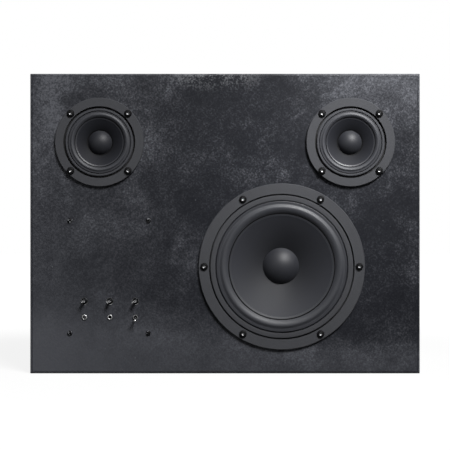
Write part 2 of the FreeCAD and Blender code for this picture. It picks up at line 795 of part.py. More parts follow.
def make_potentiometer(name, column):
    """Potentiometer behind the tray, its bushing just inside the panel's hole, and its slotted shaft."""
    across = control_column(column)
    bore = "shaft_radius + shaft_play"
    front = "tray_level - tray_sheet"
    back = f"{front} - pot_depth"
    body = turned(f"{name}_control", [
        (bore, "bushing_level"),
        ("bushing_radius - bushing_bevel", "bushing_level"),
        ("bushing_radius", "bushing_level - bushing_bevel"),
        ("bushing_radius", front),
        ("pot_radius", front),
        ("pot_radius", back),
        ("0", back),
        ("0", f"{back} + pot_floor"),
        (bore, f"{back} + pot_floor"),
    ], across, "knob_row_up")
    wafer = new_sketch(body, level=f"{front} - pot_floor")
    draw_rectangle(wafer, "-wafer_width / 2", "-wafer_drop", "wafer_width / 2", "-pot_radius / 2")
    pad(body, wafer, "wafer_thickness")

    foot = f"{back} + pot_floor + shaft_play"
    shaft = turned(f"{name}_shaft", [
        ("0", foot),
        ("shaft_radius", foot),
        ("shaft_radius", "shaft_rise - shaft_bevel"),
        ("shaft_radius - shaft_bevel", "shaft_rise"),
        ("0", "shaft_rise"),
    ], across, "knob_row_up")
    slot = new_sketch(shaft, level="shaft_rise")
    draw_centred(slot, "slot_width", "4 * shaft_radius")
    pocket(shaft, slot, "slot_depth")


def make_indicator():
    """Indicator light: a turned bezel in the panel and the lamp inside it."""
    place = (control_column(-1), "socket_row_up")
    turned("indicator_bezel", [
        ("lamp_radius + shaft_play", "-bezel_depth"),
        ("bezel_tube", "-bezel_depth"),
        ("bezel_tube", "0"),
        ("bezel_radius", "0"),
        ("bezel_radius", "bezel_rise - bezel_bevel"),
        ("bezel_radius - bezel_bevel", "bezel_rise"),
        ("lamp_radius + shaft_play", "bezel_rise"),
    ], *place)
    turned("indicator_lamp", [
        ("0", "-lamp_depth"),
        ("lamp_radius", "-lamp_depth"),
        ("lamp_radius", "lamp_level"),
        DOME,
        ("0", "lamp_level + lamp_dome"),
    ], *place)


def make_line_socket():
    """Panel socket for a 3.5 mm plug: a tube through the panel on a moulded body."""
    body = new_body("line_socket", control_column(0), "socket_row_up")
    front = "tray_level - tray_sheet"
    tube = new_sketch(body, level="jack_rise")
    draw_circles(tube, [("0", "0")], "jack_radius")
    pad(body, tube, f"jack_rise - ({front})")
    block = new_sketch(body, level=front)
    draw_centred(block, "jack_body", "jack_body")
    pad(body, block, "jack_body_depth")
    bore = new_sketch(body, level="jack_rise")
    draw_circles(bore, [("0", "0")], "jack_bore")
    pocket(body, bore, "jack_bore_depth")


def make_power_switch():
    """Small toggle switch, and its lever on a cross pin, which rests pointing down."""
    place = (control_column(1), "socket_row_up")
    body = new_body("power_switch", *place)
    front = "tray_level - tray_sheet"
    tube = new_sketch(body, level="switch_rise")
    draw_circles(tube, [("0", "0")], "switch_radius")
    pad(body, tube, f"switch_rise - ({front})")
    block = new_sketch(body, level=front)
    draw_centred(block, "switch_width", "switch_height")
    pad(body, block, "switch_depth")
    bore = new_sketch(body, level="switch_rise")
    draw_circles(bore, [("0", "0")], "switch_bore")
    pocket(body, bore, "switch_bore_depth")
    cross = new_sketch(body, "YZ_Plane")
    draw_circles(cross, [("0", "lever_pivot")], "lever_pin + shaft_play")
    pocket(body, cross, "3 * switch_radius", symmetric=True)

    tilt = FACING_FRONT.multiply(Rotation(Vector(1, 0, 0), value("lever_tilt")))
    lever = new_body("power_lever", *place, f"{PANEL_Y} - lever_pivot", tilt)
    turn_outline(lever, [
        ("0", "-lever_tail"),
        ("lever_neck", "-lever_tail"),
        ("lever_neck", "lever_neck_length"),
        ("lever_tip", "lever_length - lever_tip"),
        DOME,
        ("0", "lever_length"),
    ])
    pivot = new_sketch(lever, "YZ_Plane")
    draw_circles(pivot, [("0", "0")], "lever_pin")
    pad(lever, pivot, "lever_pin_length", symmetric=True)


def make_mains_inlet():
    """Snap-in mains inlet on the back panel: a moulded shroud with a keyed mouth and three flat pins."""
    place = ("inlet_across", "inlet_up", BACK_Y, FACING_BACK)
    shroud = new_body("mains_inlet", *place)
    flange = new_sketch(shroud)
    draw_centred(flange, "inlet_flange_width", "inlet_flange_height")
    pad(shroud, flange, "inlet_flange_rise", forward=True)
    round_edges(shroud, "inlet_corner", runs_along_level)
    block = new_sketch(shroud)
    draw_centred(block, "inlet_body_width", "inlet_body_height")
    pad(shroud, block, "inlet_body_depth")
    mouth = new_sketch(shroud, level="inlet_flange_rise")
    half = "inlet_mouth_width / 2"
    top = "inlet_mouth_height / 2"
    draw_outline(mouth, [
        (f"-{half}", f"-{top}"),
        (half, f"-{top}"),
        (half, f"{top} - inlet_mouth_cut"),
        (f"{half} - inlet_mouth_cut", top),
        (f"inlet_mouth_cut - {half}", top),
        (f"-{half}", f"{top} - inlet_mouth_cut"),
    ])
    pocket(shroud, mouth, "inlet_mouth_depth")

    pins = new_body("mains_inlet_pins", *place)
    blades = new_sketch(pins, level="inlet_flange_rise - inlet_mouth_depth")
    for across, up in (("-pin_pitch", "pin_line_up"), ("0", "pin_earth_up"), ("pin_pitch", "pin_line_up")):
        draw_centred(blades, "pin_width", "pin_height", across, up)
    pad(pins, blades, "pin_length", forward=True)


def check_document():
    """Stop if any object failed, or if a piece is empty or not a valid shape."""
    failed = [item.Label for item in doc.Objects if {"Invalid", "Error"} & set(item.State)]
    bad = [part.Label for part in parts if part.Shape.isNull() or not part.Shape.isValid()]
    if failed or bad:
        raise RuntimeError(f"failed objects: {failed}, bad shapes: {bad}")


def write_parts():
    os.makedirs("parts", exist_ok=True)
    for part in parts:
        part.Shape.exportStep(f"parts/{part.Label}.step")


fill_sheet()
make_cabinet_shell()
make_back()
make_driver("woofer", "woofer", "woofer_across", "woofer_up")
make_driver("small", "left_driver", "-small_across", "small_up")
make_driver("small", "right_driver", "small_across", "small_up")
make_module()
for name, column in (("volume", -1), ("bass", 0), ("treble", 1)):
    make_potentiometer(name, column)
make_indicator()
make_line_socket()
make_power_switch()
make_mains_inlet()
doc.recompute()
check_document()
write_parts()
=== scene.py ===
import json
import math

import bmesh
import bpy
from bpy.props import FloatProperty, FloatVectorProperty, IntProperty, PointerProperty
from mathutils import Matrix, Vector
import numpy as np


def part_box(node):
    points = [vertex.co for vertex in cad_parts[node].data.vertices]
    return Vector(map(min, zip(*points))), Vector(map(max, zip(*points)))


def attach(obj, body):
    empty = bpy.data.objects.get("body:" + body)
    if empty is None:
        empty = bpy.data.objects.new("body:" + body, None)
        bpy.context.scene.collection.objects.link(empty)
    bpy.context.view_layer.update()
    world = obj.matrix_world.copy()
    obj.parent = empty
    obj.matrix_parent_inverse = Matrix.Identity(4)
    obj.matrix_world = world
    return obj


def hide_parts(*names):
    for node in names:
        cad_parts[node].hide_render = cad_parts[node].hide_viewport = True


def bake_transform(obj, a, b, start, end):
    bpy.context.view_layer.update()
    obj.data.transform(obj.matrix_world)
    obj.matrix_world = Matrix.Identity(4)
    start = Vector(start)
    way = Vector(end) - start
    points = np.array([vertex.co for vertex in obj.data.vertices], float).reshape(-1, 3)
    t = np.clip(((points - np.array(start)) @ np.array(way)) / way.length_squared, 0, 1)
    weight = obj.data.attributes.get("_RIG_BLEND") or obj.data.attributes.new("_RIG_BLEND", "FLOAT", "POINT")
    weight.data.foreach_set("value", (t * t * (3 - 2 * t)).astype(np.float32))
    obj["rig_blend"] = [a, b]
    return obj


bl_info = {
    "name": "Powered Speaker",
    "version": (1, 0, 0),
    "blender": (4, 5, 0),
    "location": "3D View > Sidebar > Speaker",
    "description": "Gives the speaker its finishes and fine pieces, and a plain studio around it",
    "category": "Object",
}

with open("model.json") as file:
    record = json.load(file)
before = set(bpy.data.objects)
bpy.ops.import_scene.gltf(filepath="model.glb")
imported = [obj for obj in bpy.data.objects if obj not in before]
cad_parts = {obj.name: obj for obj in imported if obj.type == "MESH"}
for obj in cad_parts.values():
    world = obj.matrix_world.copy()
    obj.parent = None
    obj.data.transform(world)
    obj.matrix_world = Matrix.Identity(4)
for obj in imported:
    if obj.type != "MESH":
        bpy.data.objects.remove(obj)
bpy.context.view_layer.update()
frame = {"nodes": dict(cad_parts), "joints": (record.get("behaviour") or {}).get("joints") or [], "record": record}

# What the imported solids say: the finish and the body of each, and the planes of the front and back

SLOTS = {part["node"]: part["material_slot"] for part in frame["record"]["subparts"]}
BODIES = {node: body for body, nodes in frame["record"]["behaviour"]["bodies"].items() for node in nodes}
PANEL_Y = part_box("cabinet_shell")[0].y
BACK_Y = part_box("back_panel")[1].y
TO_FRONT = -1
TO_BACK = 1
DRIVERS = ("woofer", "left_driver", "right_driver")
CONTROLS = ("volume", "bass", "treble")

# Distances in metres that count as none, and angles from which an edge is sharp or up to which it is flat

MOVED_LITTLE = 1e-5
SAME_POINT = 1e-6
SHARP_ANGLE = math.radians(38)
FLAT_ANGLE = math.radians(1)

# Points of an outline's rounded corner, and facets round the small pieces and one flute

CORNER_POINTS = 5
SCREW_STEPS = 48
WASHER_STEPS = 64
LENS_STEPS = 48
LEVER_STEPS = 40
FLUTE_STEPS = 6

# Places across a half roll as shares of its width, its facets, and the place of the crease across its lip

ROLL_CREST, ROLL_SHOULDER, ROLL_DROP = 0.44, 0.74, 0.92
ROLL_STEPS = 48
LIP_CREASE = 0.36

# Angle by which each screw of a set is turned on from the last

SCREW_TURN = 2.4

# How many times paler the coat's palest spots are than its deepest, at the mottling's plain strength

MOTTLING = 75.0


def length(name, description, default):
    """A size in metres that a user may change."""
    return FloatProperty(name=name, description=description, default=default, min=0, precision=5,
                         unit="LENGTH")


def count(name, description, default, least):
    """A whole number that a user may change."""
    return IntProperty(name=name, description=description, default=default, min=least)


def power(name, description, default):
    """A lamp's power in watts that a user may change."""
    return FloatProperty(name=name, description=description, default=default, min=0, unit="POWER")


def colour(name, description, red, green, blue):
    """A colour that a user may change."""
    return FloatVectorProperty(name=name, description=description, default=(red, green, blue, 1), size=4,
                               min=0, max=1, subtype="COLOR")


def place(name, description, x, y, z):
    """A point in metres that a user may change."""
    return FloatVectorProperty(name=name, description=description, default=(x, y, z), size=3,
                               subtype="TRANSLATION")


class SpeakerSizes(bpy.types.PropertyGroup):
    """Fine sizes that only the visible pieces have."""
    round_steps: count("Round Steps", "Facets round a driver's rings", 160, 24)
    rubber_edge: length("Rubber Edge", "Rounding on the edges of gaskets and surrounds", 0.0003)
    roll_play: length("Roll Play", "Gap between the foot of the half roll and the gasket", 0.0003)
    # Painted shadow round the foot of a small driver's dust cap
    glue_ring: length("Glue Ring", "Width of the black glue round a small driver's dust cap", 0.0014)
    lip_edge: length("Lip Edge", "Thickness left at the feathered edge of the lip on the cone", 0.00015)
    gasket_play: length("Gasket Play", "How far a gasket's outer edge stays inside the packed one", 0.0006)
    # Sizes of the paler coat, which is partly wear and partly painted light; at the upper right corner it is a
    # painted glow
    worn_side: length("Worn Side", "Width of the thin coat at the left side and above the left driver", 0.11)
    worn_foot: length("Worn Foot", "Height of the thin coat at the cabinet's foot", 0.11)
    worn_left: length("Worn Left Corners", "Reach of the thin coat from the left corners", 0.32)
    worn_top: length("Worn Top", "Height of the rubbed band in the middle of the top edge", 0.024)
    worn_span: length("Worn Span", "Half the width of that band", 0.066)
    worn_right: length("Worn Right Corner", "Height of the thin coat at the upper right corner", 0.1)
    deep_reach: length("Deep Reach", "Reach of the deepest coat from below the top edge's middle", 0.15)
    even_reach: length("Even Reach", "Reach of the even coat from the lower left corner", 0.38)
    # Painted shade: a dark line round the front where the sheet starts to fold
    fold_line: length("Fold Line", "Width of the dark line where the sheet starts to fold", 0.0008)
    fold_inset: length("Fold Inset", "That line's distance from the cabinet's edge", 0.0028)
    washer_play: length("Washer Play", "Gap round the dished washer in each control's hole", 0.00005)
    washer_dish: length("Washer Dish", "Depth of that washer's slope", 0.00045)
    washer_sheet: length("Washer Sheet", "Thickness of that washer", 0.0004)
    fitting_edge: length("Fitting Edge", "Rounding on the bezel, socket, switch and bushings", 0.0005)
    driver_hex: length("Driver Screw Socket", "Across the flats of a driver screw's socket", 0.003)
    module_hex: length("Module Screw Socket", "Across the flats of a module screw's socket", 0.002)
    back_hex: length("Back Screw Socket", "Across the flats of a back screw's socket", 0.0025)
    shaft_step: FloatProperty(name="Shaft Step", default=0.7, min=0.3, max=1, subtype="FACTOR",
                              description="Share of its radius that a shaft keeps above its bushing")
    knurl_depth: length("Knurl Depth", "Depth of the flutes along a control's shaft", 0.00012)
    knurl_count: count("Knurl Count", "Flutes round a control's shaft", 24, 6)
    slot_width: length("Slot Width", "Width of the slot in a shaft's end", 0.0009)
    slot_depth: length("Slot Depth", "Depth of the slot in a shaft's end", 0.0022)


class SpeakerColours(bpy.types.PropertyGroup):
    """Colours of the finishes, as they look in plain light."""
    steel_dark: colour("Steel Dark", "Blackened sheet where the coat is deepest", 0.003, 0.0038, 0.0068)
    steel_pale: colour("Steel Pale", "Blackened sheet where the coat is thin", 0.086, 0.089, 0.101)
    steel_bare: colour("Steel Bare", "Rubbed edges, flecks, chips and scratches", 0.16, 0.165, 0.175)
    frame_grey: colour("Frame Grey", "Coating of the cast driver frames", 0.039, 0.0404, 0.0457)
    rubber_black: colour("Rubber Black", "Surrounds and small gaskets", 0.0286, 0.0302, 0.0362)
    gasket_grey: colour("Gasket Grey", "Woofer gasket and back seal", 0.035, 0.0361, 0.041)
    cone_black: colour("Cone Black", "Woofer cone", 0.0163, 0.0173, 0.0216)
    # Painted shade: darker than the woofer's cone, in place of the shade a deeper cone would have
    small_cone_black: colour("Small Cone Black", "Cones of the small drivers", 0.0113, 0.012, 0.015)
    cap_black: colour("Cap Black", "Dust caps", 0.0163, 0.0172, 0.0212)
    lip_black: colour("Lip Black", "Glued lips of the surrounds", 0.01956, 0.02076, 0.02592)
    screw_black: colour("Screw Black", "Black oxide on the screws", 0.004, 0.0041, 0.0046)
    # Painted glint: bright bare steel in each screw's socket
    socket_steel: colour("Socket Steel", "Bare sockets of the screws", 0.392, 0.3955, 0.4025)
    steel_bright: colour("Steel Bright", "Turned washers and the sawn ends of the shafts", 0.56, 0.565, 0.575)
    plate_bright: colour("Plate Bright", "Plated rings, tip of the lever, and pins", 0.74, 0.74, 0.745)
    # Painted shade: dark steel on the flanks of the shafts, the bushings and the lever's neck, where they lie in
    # shadow
    steel_oiled: colour("Steel Oiled", "Dark flanks of shafts, bushings and lever", 0.045, 0.0465, 0.05)
    lens_smoke: colour("Lens Smoke", "Unlit indicator lens", 0.035, 0.036, 0.038)
    moulding_black: colour("Moulding Black", "Mains inlet", 0.016, 0.016, 0.017)
    zinc_grey: colour("Zinc Grey", "Zinc plate inside", 0.5, 0.51, 0.52)
    ferrite_grey: colour("Ferrite Grey", "Ring magnets", 0.045, 0.045, 0.05)
    sleeve_blue: colour("Sleeve Blue", "Sleeves of the capacitors", 0.02, 0.025, 0.06)
    dust_grey: colour("Dust Grey", "Dust on what faces up", 0.2, 0.2, 0.2)


class SpeakerStage(bpy.types.PropertyGroup):
    """Camera, lamps and floor."""
    field: length("Field", "Width of the view at the front panel", 0.54)
    distance: length("Distance", "From the front panel to the camera", 1.5)
    eye_height: length("Eye Height", "Camera above the floor", 0.1783)
    sensor: FloatProperty(name="Sensor", description="Sensor width in millimetres", default=36, min=1)
    floor_drop: length("Floor Drop", "How far the floor lies below the cabinet", 0.0002)
    floor_size: length("Floor Size", "Side of the pale floor", 12)
    key_power: power("Key Power", "Lamp at the upper right", 126)
    key_size: length("Key Size", "Side of the key lamp", 1.1)
    key_place: place("Key Place", "Where the key lamp hangs", 0.98, -2.03, 2.23)
    glow_power: power("Glow Power", "Narrow lamp on the upper right corner", 310)
    glow_angle: FloatProperty(name="Glow Angle", description="Opening of the narrow lamp",
                              default=math.radians(9.5), subtype="ANGLE")
    glow_size: length("Glow Size", "Radius of the narrow lamp, which softens its shadows", 0.1)
    glow_place: place("Glow Place", "Where the narrow lamp hangs", 0.88, -1.53, 1.86)
    glow_aim: place("Glow Aim", "Point that the narrow lamp faces", 0.155, -0.08, 0.345)
    fill_power: power("Fill Power", "Large lamp at the left", 2)
    fill_size: length("Fill Size", "Side of the large lamp at the left", 0.8)
    fill_place: place("Fill Place", "Where the large lamp hangs", -1.0, -1.6, 0.5)
    ambient: FloatProperty(name="Ambient", description="Light from all round", default=0.05, min=0)
    room: FloatProperty(name="Room", description="What gloss sees in front of the object", default=0.08,
                        min=0)


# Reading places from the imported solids

def axis_of(node):
    """Point on the front panel's plane where the axis of a round node meets it."""
    low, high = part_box(node)
    return Vector(((low.x + high.x) / 2, PANEL_Y, (low.z + high.z) / 2))


def rim_points(node, axis):
    """Each vertex of a node as its radius from the axis and its level out of the front panel."""
    points = []
    for vertex in frame["nodes"][node].data.vertices:
        radius = math.hypot(vertex.co.x - axis.x, vertex.co.z - axis.z)
        points.append((radius, PANEL_Y - vertex.co.y))
    return points


def radii_at(points, level):
    """Radii of the circles that a node has at one level, from small to large."""
    found = {round(radius, 5) for radius, height in points if abs(height - level) < MOVED_LITTLE}
    return sorted(found)


def section_of(node, middle):
    """The axis of a round node, another node's points about it, and their lowest and highest level."""
    axis = axis_of(middle)
    points = rim_points(node, axis)
    levels = [level for radius, level in points]
    return axis, points, min(levels), max(levels)


def packed_mesh(node):
    """The mesh of a node with its facets joined, to work on."""
    bm = bmesh.new()
    bm.from_mesh(frame["nodes"][node].data)
    bmesh.ops.remove_doubles(bm, verts=bm.verts, dist=SAME_POINT)
    return bm


def half_width(node):
    """Half of a node's width, which is the radius of a round one."""
    low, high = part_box(node)
    return (high.x - low.x) / 2


def separate_boxes(node):
    """Lowest and highest corner of each separate solid in a node, such as each screw of a set."""
    bm = packed_mesh(node)
    waiting = set(bm.verts)
    boxes = []
    while waiting:
        front = [waiting.pop()]
        island = list(front)
        while front:
            for edge in front.pop().link_edges:
                for vertex in edge.verts:
                    if vertex in waiting:
                        waiting.remove(vertex)
                        front.append(vertex)
                        island.append(vertex)
        low = Vector([min(vertex.co[side] for vertex in island) for side in range(3)])
        high = Vector([max(vertex.co[side] for vertex in island) for side in range(3)])
        boxes.append((low, high))
    bm.free()
    return sorted(boxes, key=lambda box: (round(box[0].z, 4), round(box[0].x, 4)))


# Outlines and turned meshes

def softened(outline, radius):
    """A closed outline whose corners are rounded, each by no more than its two sides allow."""
    most = 0.45
    smooth = []
    for number, corner in enumerate(outline):
        here = Vector(corner)
        before = Vector(outline[number - 1]) - here
        after = Vector(outline[(number + 1) % len(outline)]) - here
        cut = min(radius, before.length * most, after.length * most)
        start = here + before.normalized() * cut
        end = here + after.normalized() * cut
        for step in range(CORNER_POINTS):
            share = step / (CORNER_POINTS - 1)
            first = start.lerp(here, share)
            smooth.append(tuple(first.lerp(here.lerp(end, share), share)))
    return smooth


def bowed(start, end, height, steps):
    """Points of an arc from start to end, which are at one level, that rises by a height between them."""
    half = (end[0] - start[0]) / 2
    radius = (half * half + height * height) / (2 * height)
    middle = (start[0] + half, start[1] + height - radius)
    swing = math.acos((radius - height) / radius)
    angles = [swing * (2 * step / steps - 1) * math.copysign(1, half) for step in range(steps + 1)]
    return [(middle[0] + radius * math.sin(angle), middle[1] + radius * math.cos(angle)) for angle in angles]


def swelled(inner, outer, foot, height):
    """Points of a half roll: a round inner flank, a softer outer one, then a flat shoulder at half the height
    and a steep drop at the end."""
    width = outer - inner
    crest, shoulder, drop = (inner + width * share for share in (ROLL_CREST, ROLL_SHOULDER, ROLL_DROP))
    points = []
    for step in range(ROLL_STEPS + 1):
        radius = inner + width * step / ROLL_STEPS
        if radius < crest:
            rise = max(1 - ((crest - radius) / (crest - inner)) ** 2, 0)
        elif radius < shoulder:
            rise = 0.75 + 0.25 * math.cos(math.pi * (radius - crest) / (shoulder - crest))
        elif radius < drop:
            rise = 0.5
        else:
            rise = 0.25 + 0.25 * math.cos(math.pi * (radius - drop) / (outer - drop))
        points.append((radius, foot + height * rise))
    return points


def domed(radius, rim, height, steps):
    """Points of a dome from its rim to its top on the axis."""
    ball = (radius * radius + height * height) / (2 * height)
    swing = math.acos((ball - height) / ball)
    angles = [swing * (1 - step / steps) for step in range(steps + 1)]
    return [(ball * math.sin(angle), rim + height - ball + ball * math.cos(angle)) for angle in angles]


def hexagon(across):
    """Radius of a hexagon's outline at each angle, from its width across the flats."""
    sixth = math.tau / 6
    return lambda angle: across / 2 / math.cos((angle + sixth / 2) % sixth - sixth / 2)


def fluted(radius, depth, flutes):
    """Radius of a shaft with straight flutes, at each angle."""
    return lambda angle: radius - depth * (0.5 - 0.5 * math.cos(angle * flutes))


def turn(bm, outline, steps, at, *changes, facing=TO_FRONT, spin=0.0):
    """Adds a closed outline of radius and level, turned about the axis at a point, to a mesh.
    A radius may be a function of the angle, and one on the axis is zero. At each of the changes, which are
    numbers of points of the outline, the faces go on with the next finish."""
    angles = [math.tau * step / steps for step in range(steps)]
    rows = []
    for radius, level in outline:
        y = at.y + facing * level
        if not callable(radius) and radius < MOVED_LITTLE:
            rows.append([bm.verts.new((at.x, y, at.z))])
            continue
        row = []
        for angle in angles:
            reach = radius(angle) if callable(radius) else radius
            x = at.x + reach * math.cos(angle + spin)
            z = at.z + reach * math.sin(angle + spin)
            row.append(bm.verts.new((x, y, z)))
        rows.append(row)
    for number, (row, beside) in enumerate(zip(rows, rows[1:] + rows[:1])):
        if len(row) == len(beside) == 1:
            continue
        for step in range(steps):
            ahead = (step + 1) % steps
            corners = [row[step % len(row)], row[ahead % len(row)],
                       beside[ahead % len(beside)], beside[step % len(beside)]]
            face = bm.faces.new(list(dict.fromkeys(corners)))
            face.material_index = sum(number >= change for change in changes)


def make_piece(bm, name, *finishes):
    """The mesh as a smooth-shaded object with its named finishes."""
    bmesh.ops.recalc_face_normals(bm, faces=bm.faces)
    mesh = bpy.data.meshes.new(name)
    bm.to_mesh(mesh)
    bm.free()
    mesh.shade_smooth()
    mesh.set_sharp_from_angle(angle=SHARP_ANGLE)
    for label in finishes:
        mesh.materials.append(finish(label))
    piece = bpy.data.objects.new(name, mesh)
    bpy.context.scene.collection.objects.link(piece)
    return piece


def turned_piece(name, finishes, outline, steps, at, *changes):
    """An outline, turned about the axis at a point, as a piece with its named finishes."""
    bm = bmesh.new()
    turn(bm, outline, steps, at, *changes)
    return make_piece(bm, name, *finishes)


def stand_for(piece, node):
    """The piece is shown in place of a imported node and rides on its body."""
    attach(piece, BODIES[node])
    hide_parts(node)


def stretch_for(piece, driver, node, outer, inner):
    """The piece is shown in place of a soft node of a driver: still from the outer radius on, and moving
    with the cone up to the inner one."""
    axis = axis_of(f"{driver}_basket")
    rim, hub = (axis + Vector((radius, 0, 0)) for radius in (outer, inner))
    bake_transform(piece, BODIES[f"{driver}_basket"], BODIES[f"{driver}_cone"], rim, hub)
    weights = piece.data.attributes["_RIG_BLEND"].data
    for vertex, weight in zip(piece.data.vertices, weights):
        radius = math.hypot(vertex.co.x - axis.x, vertex.co.z - axis.z)
        share = min(max((outer - radius) / (outer - inner), 0), 1)
        weight.value = share * share * (3 - 2 * share)
    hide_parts(node)


# Shader nodes

def add(tree, kind, wires=None, **settings):
    """A node with its settings, each named input wired to a socket or given a value."""
    made = tree.nodes.new(kind)
    for name, setting in settings.items():
        setattr(made, name, setting)
    for name, source in (wires or {}).items():
        if isinstance(source, bpy.types.NodeSocket):
            tree.links.new(source, made.inputs[name])
        else:
            made.inputs[name].default_value = source
    return made


def calculate(tree, operation, first, second=0.0, third=0.0, clamp=False):
    """Output of a Math node."""
    wires = {0: first, 1: second, 2: third}
    return add(tree, "ShaderNodeMath", wires, operation=operation, use_clamp=clamp).outputs[0]


def product(tree, *factors):
    """All the factors multiplied."""
    result = factors[0]
    for factor in factors[1:]:
        result = calculate(tree, "MULTIPLY", result, factor)
    return result


def layered(tree, *layers):
    """The sum of the layers, each times its share."""
    total = 0.0
    for layer, share in layers:
        total = calculate(tree, "MULTIPLY_ADD", layer, share, total)
    return total


def between(tree, share, low, high):
    """A value that goes from low to high as the share goes from 0 to 1."""
    return add(tree, "ShaderNodeMapRange", {"Value": share, "To Min": low, "To Max": high}).outputs[0]


def ramp(tree, level, start, end):
    """0 below the start, 1 past the end and smooth in between."""
    wires = {"Value": level, "From Min": start, "From Max": end}
    return add(tree, "ShaderNodeMapRange", wires, interpolation_type="SMOOTHSTEP").outputs[0]


def times(shade, factor):
    """A colour made darker or lighter."""
    return (*(part * factor for part in shade[:3]), 1)


def fade(tree, share, under, over):
    """A number that goes from one to another with a share."""
    return add(tree, "ShaderNodeMix", {0: share, 2: under, 3: over}, data_type="FLOAT").outputs[0]


def tint(tree, share, under, over):
    """A colour that goes from one to another with a share."""
    return add(tree, "ShaderNodeMix", {0: share, 6: under, 7: over}, data_type="RGBA").outputs[2]


def spot_on(tree):
    """Where each point of the surface is, in metres."""
    return add(tree, "ShaderNodeTexCoord").outputs["Object"]


def sides_of(tree, spot):
    """The X, Y and Z of a point."""
    return add(tree, "ShaderNodeSeparateXYZ", {"Vector": spot}).outputs


def noise(tree, size, detail, roughness=0.55, distortion=0.0):
    """Value of a noise whose features have about that size in metres."""
    scale = calculate(tree, "DIVIDE", 1.0, size)
    wires = {"Vector": spot_on(tree), "Scale": scale, "Detail": detail, "Roughness": roughness,
             "Distortion": distortion}
    return add(tree, "ShaderNodeTexNoise", wires).outputs[0]


def contrasted(tree, level, contrast):
    """A value moved away from the middle, between 0 and 1."""
    away = calculate(tree, "SUBTRACT", level, 0.5)
    return calculate(tree, "MULTIPLY_ADD", away, contrast, 0.5, True)


def new_effect(name, inputs, output):
    """An empty shader node group with number inputs and one number output."""
    group = bpy.data.node_groups.new(name, "ShaderNodeTree")
    for label, default in inputs.items():
        kind = "NodeSocketVector" if isinstance(default, tuple) else "NodeSocketFloat"
        group.interface.new_socket(label, in_out="INPUT", socket_type=kind).default_value = default
    group.interface.new_socket(output, in_out="OUTPUT", socket_type="NodeSocketFloat")
    entry = group.nodes.new("NodeGroupInput")
    return group, {label: entry.outputs[label] for label in inputs}


def close_effect(group, result):
    """Wires a group's result to its output."""
    leave = group.nodes.new("NodeGroupOutput")
    group.links.new(result, leave.inputs[0])
    return group


def cloudy_patches():
    """Soft patches where a coat is thicker or thinner."""
    group, given = new_effect("Cloudy Patches", {"Size": 0.05, "Contrast": 2.0}, "Patch")
    cloud = noise(group, given["Size"], detail=6.0, roughness=0.6, distortion=0.35)
    return close_effect(group, contrasted(group, cloud, given["Contrast"]))


def fine_grain():
    """Close even grain, as of a coating or a casting."""
    group, given = new_effect("Fine Grain", {"Size": 0.001, "Contrast": 1.6}, "Grain")
    speck = noise(group, given["Size"], detail=2.0, roughness=0.7)
    return close_effect(group, contrasted(group, speck, given["Contrast"]))


def straight_streaks():
    """Streaks in one direction across the front, from soft wipes to hairline scratches."""
    inputs = {"Angle": 0.4, "Width": 0.0007, "Length": 0.06, "Threshold": 0.7, "Softness": 0.05}
    group, given = new_effect("Straight Streaks", inputs, "Streak")
    wires = {"Vector": spot_on(group), "Angle": given["Angle"]}
    turned = add(group, "ShaderNodeVectorRotate", wires, rotation_type="Y_AXIS").outputs[0]
    along = calculate(group, "DIVIDE", 1.0, given["Length"])
    across = calculate(group, "DIVIDE", 1.0, given["Width"])
    stretch = add(group, "ShaderNodeCombineXYZ", {"X": along, "Y": along, "Z": across}).outputs[0]
    streaks = add(group, "ShaderNodeVectorMath", {0: turned, 1: stretch}, operation="MULTIPLY").outputs[0]
    line = add(group, "ShaderNodeTexNoise", {"Vector": streaks, "Scale": 1.0, "Detail": 1.0}).outputs[0]
    top = calculate(group, "ADD", given["Threshold"], given["Softness"])
    return close_effect(group, ramp(group, line, given["Threshold"], top))


def scattered_specks():
    """Small round specks at random places, on a share of the cells."""
    group, given = new_effect("Scattered Specks", {"Spacing": 0.006, "Radius": 0.16, "Share": 0.2}, "Speck")
    scale = calculate(group, "DIVIDE", 1.0, given["Spacing"])
    cells = add(group, "ShaderNodeTexVoronoi", {"Vector": spot_on(group), "Scale": scale})
    inside = calculate(group, "LESS_THAN", cells.outputs["Distance"], given["Radius"])
    pick = add(group, "ShaderNodeSeparateColor", {"Color": cells.outputs["Color"]}).outputs[0]
    chosen = calculate(group, "LESS_THAN", pick, given["Share"])
    return close_effect(group, product(group, inside, chosen))


def settled_dust():
    """Thin dust on what faces up."""
    group, given = new_effect("Settled Dust", {"Amount": 0.3}, "Dust")
    facing = add(group, "ShaderNodeNewGeometry").outputs["Normal"]
    lying = ramp(group, sides_of(group, facing)["Z"], 0.6, 1.0)
    uneven = noise(group, 0.02, detail=5.0)
    return close_effect(group, product(group, lying, uneven, given["Amount"]))


def ruled_lines():
    """Fine parallel lines, as of windings, stacked sheets or an extruded surface."""
    group, given = new_effect("Ruled Lines", {"Direction": (0.0, 1.0, 0.0), "Pitch": 0.001}, "Line")
    wires = {0: spot_on(group), 1: given["Direction"]}
    along = add(group, "ShaderNodeVectorMath", wires, operation="DOT_PRODUCT").outputs["Value"]
    turns = calculate(group, "DIVIDE", along, given["Pitch"])
    wave = calculate(group, "SINE", product(group, turns, math.tau))
    return close_effect(group, calculate(group, "MULTIPLY_ADD", wave, 0.5, 0.5))


EFFECTS = {
    "Cloudy Patches": cloudy_patches,
    "Fine Grain": fine_grain,
    "Straight Streaks": straight_streaks,
    "Scattered Specks": scattered_specks,
    "Settled Dust": settled_dust,
    "Ruled Lines": ruled_lines,
}


def effect(tree, name, **values):
    """Output of a shared effect, placed in a material with its own values."""
    group = bpy.data.node_groups.get(name) or EFFECTS[name]()
    placed = add(tree, "ShaderNodeGroup", node_tree=group)
    for label, given in values.items():
        placed.inputs[label].default_value = given
    return placed.outputs[0]


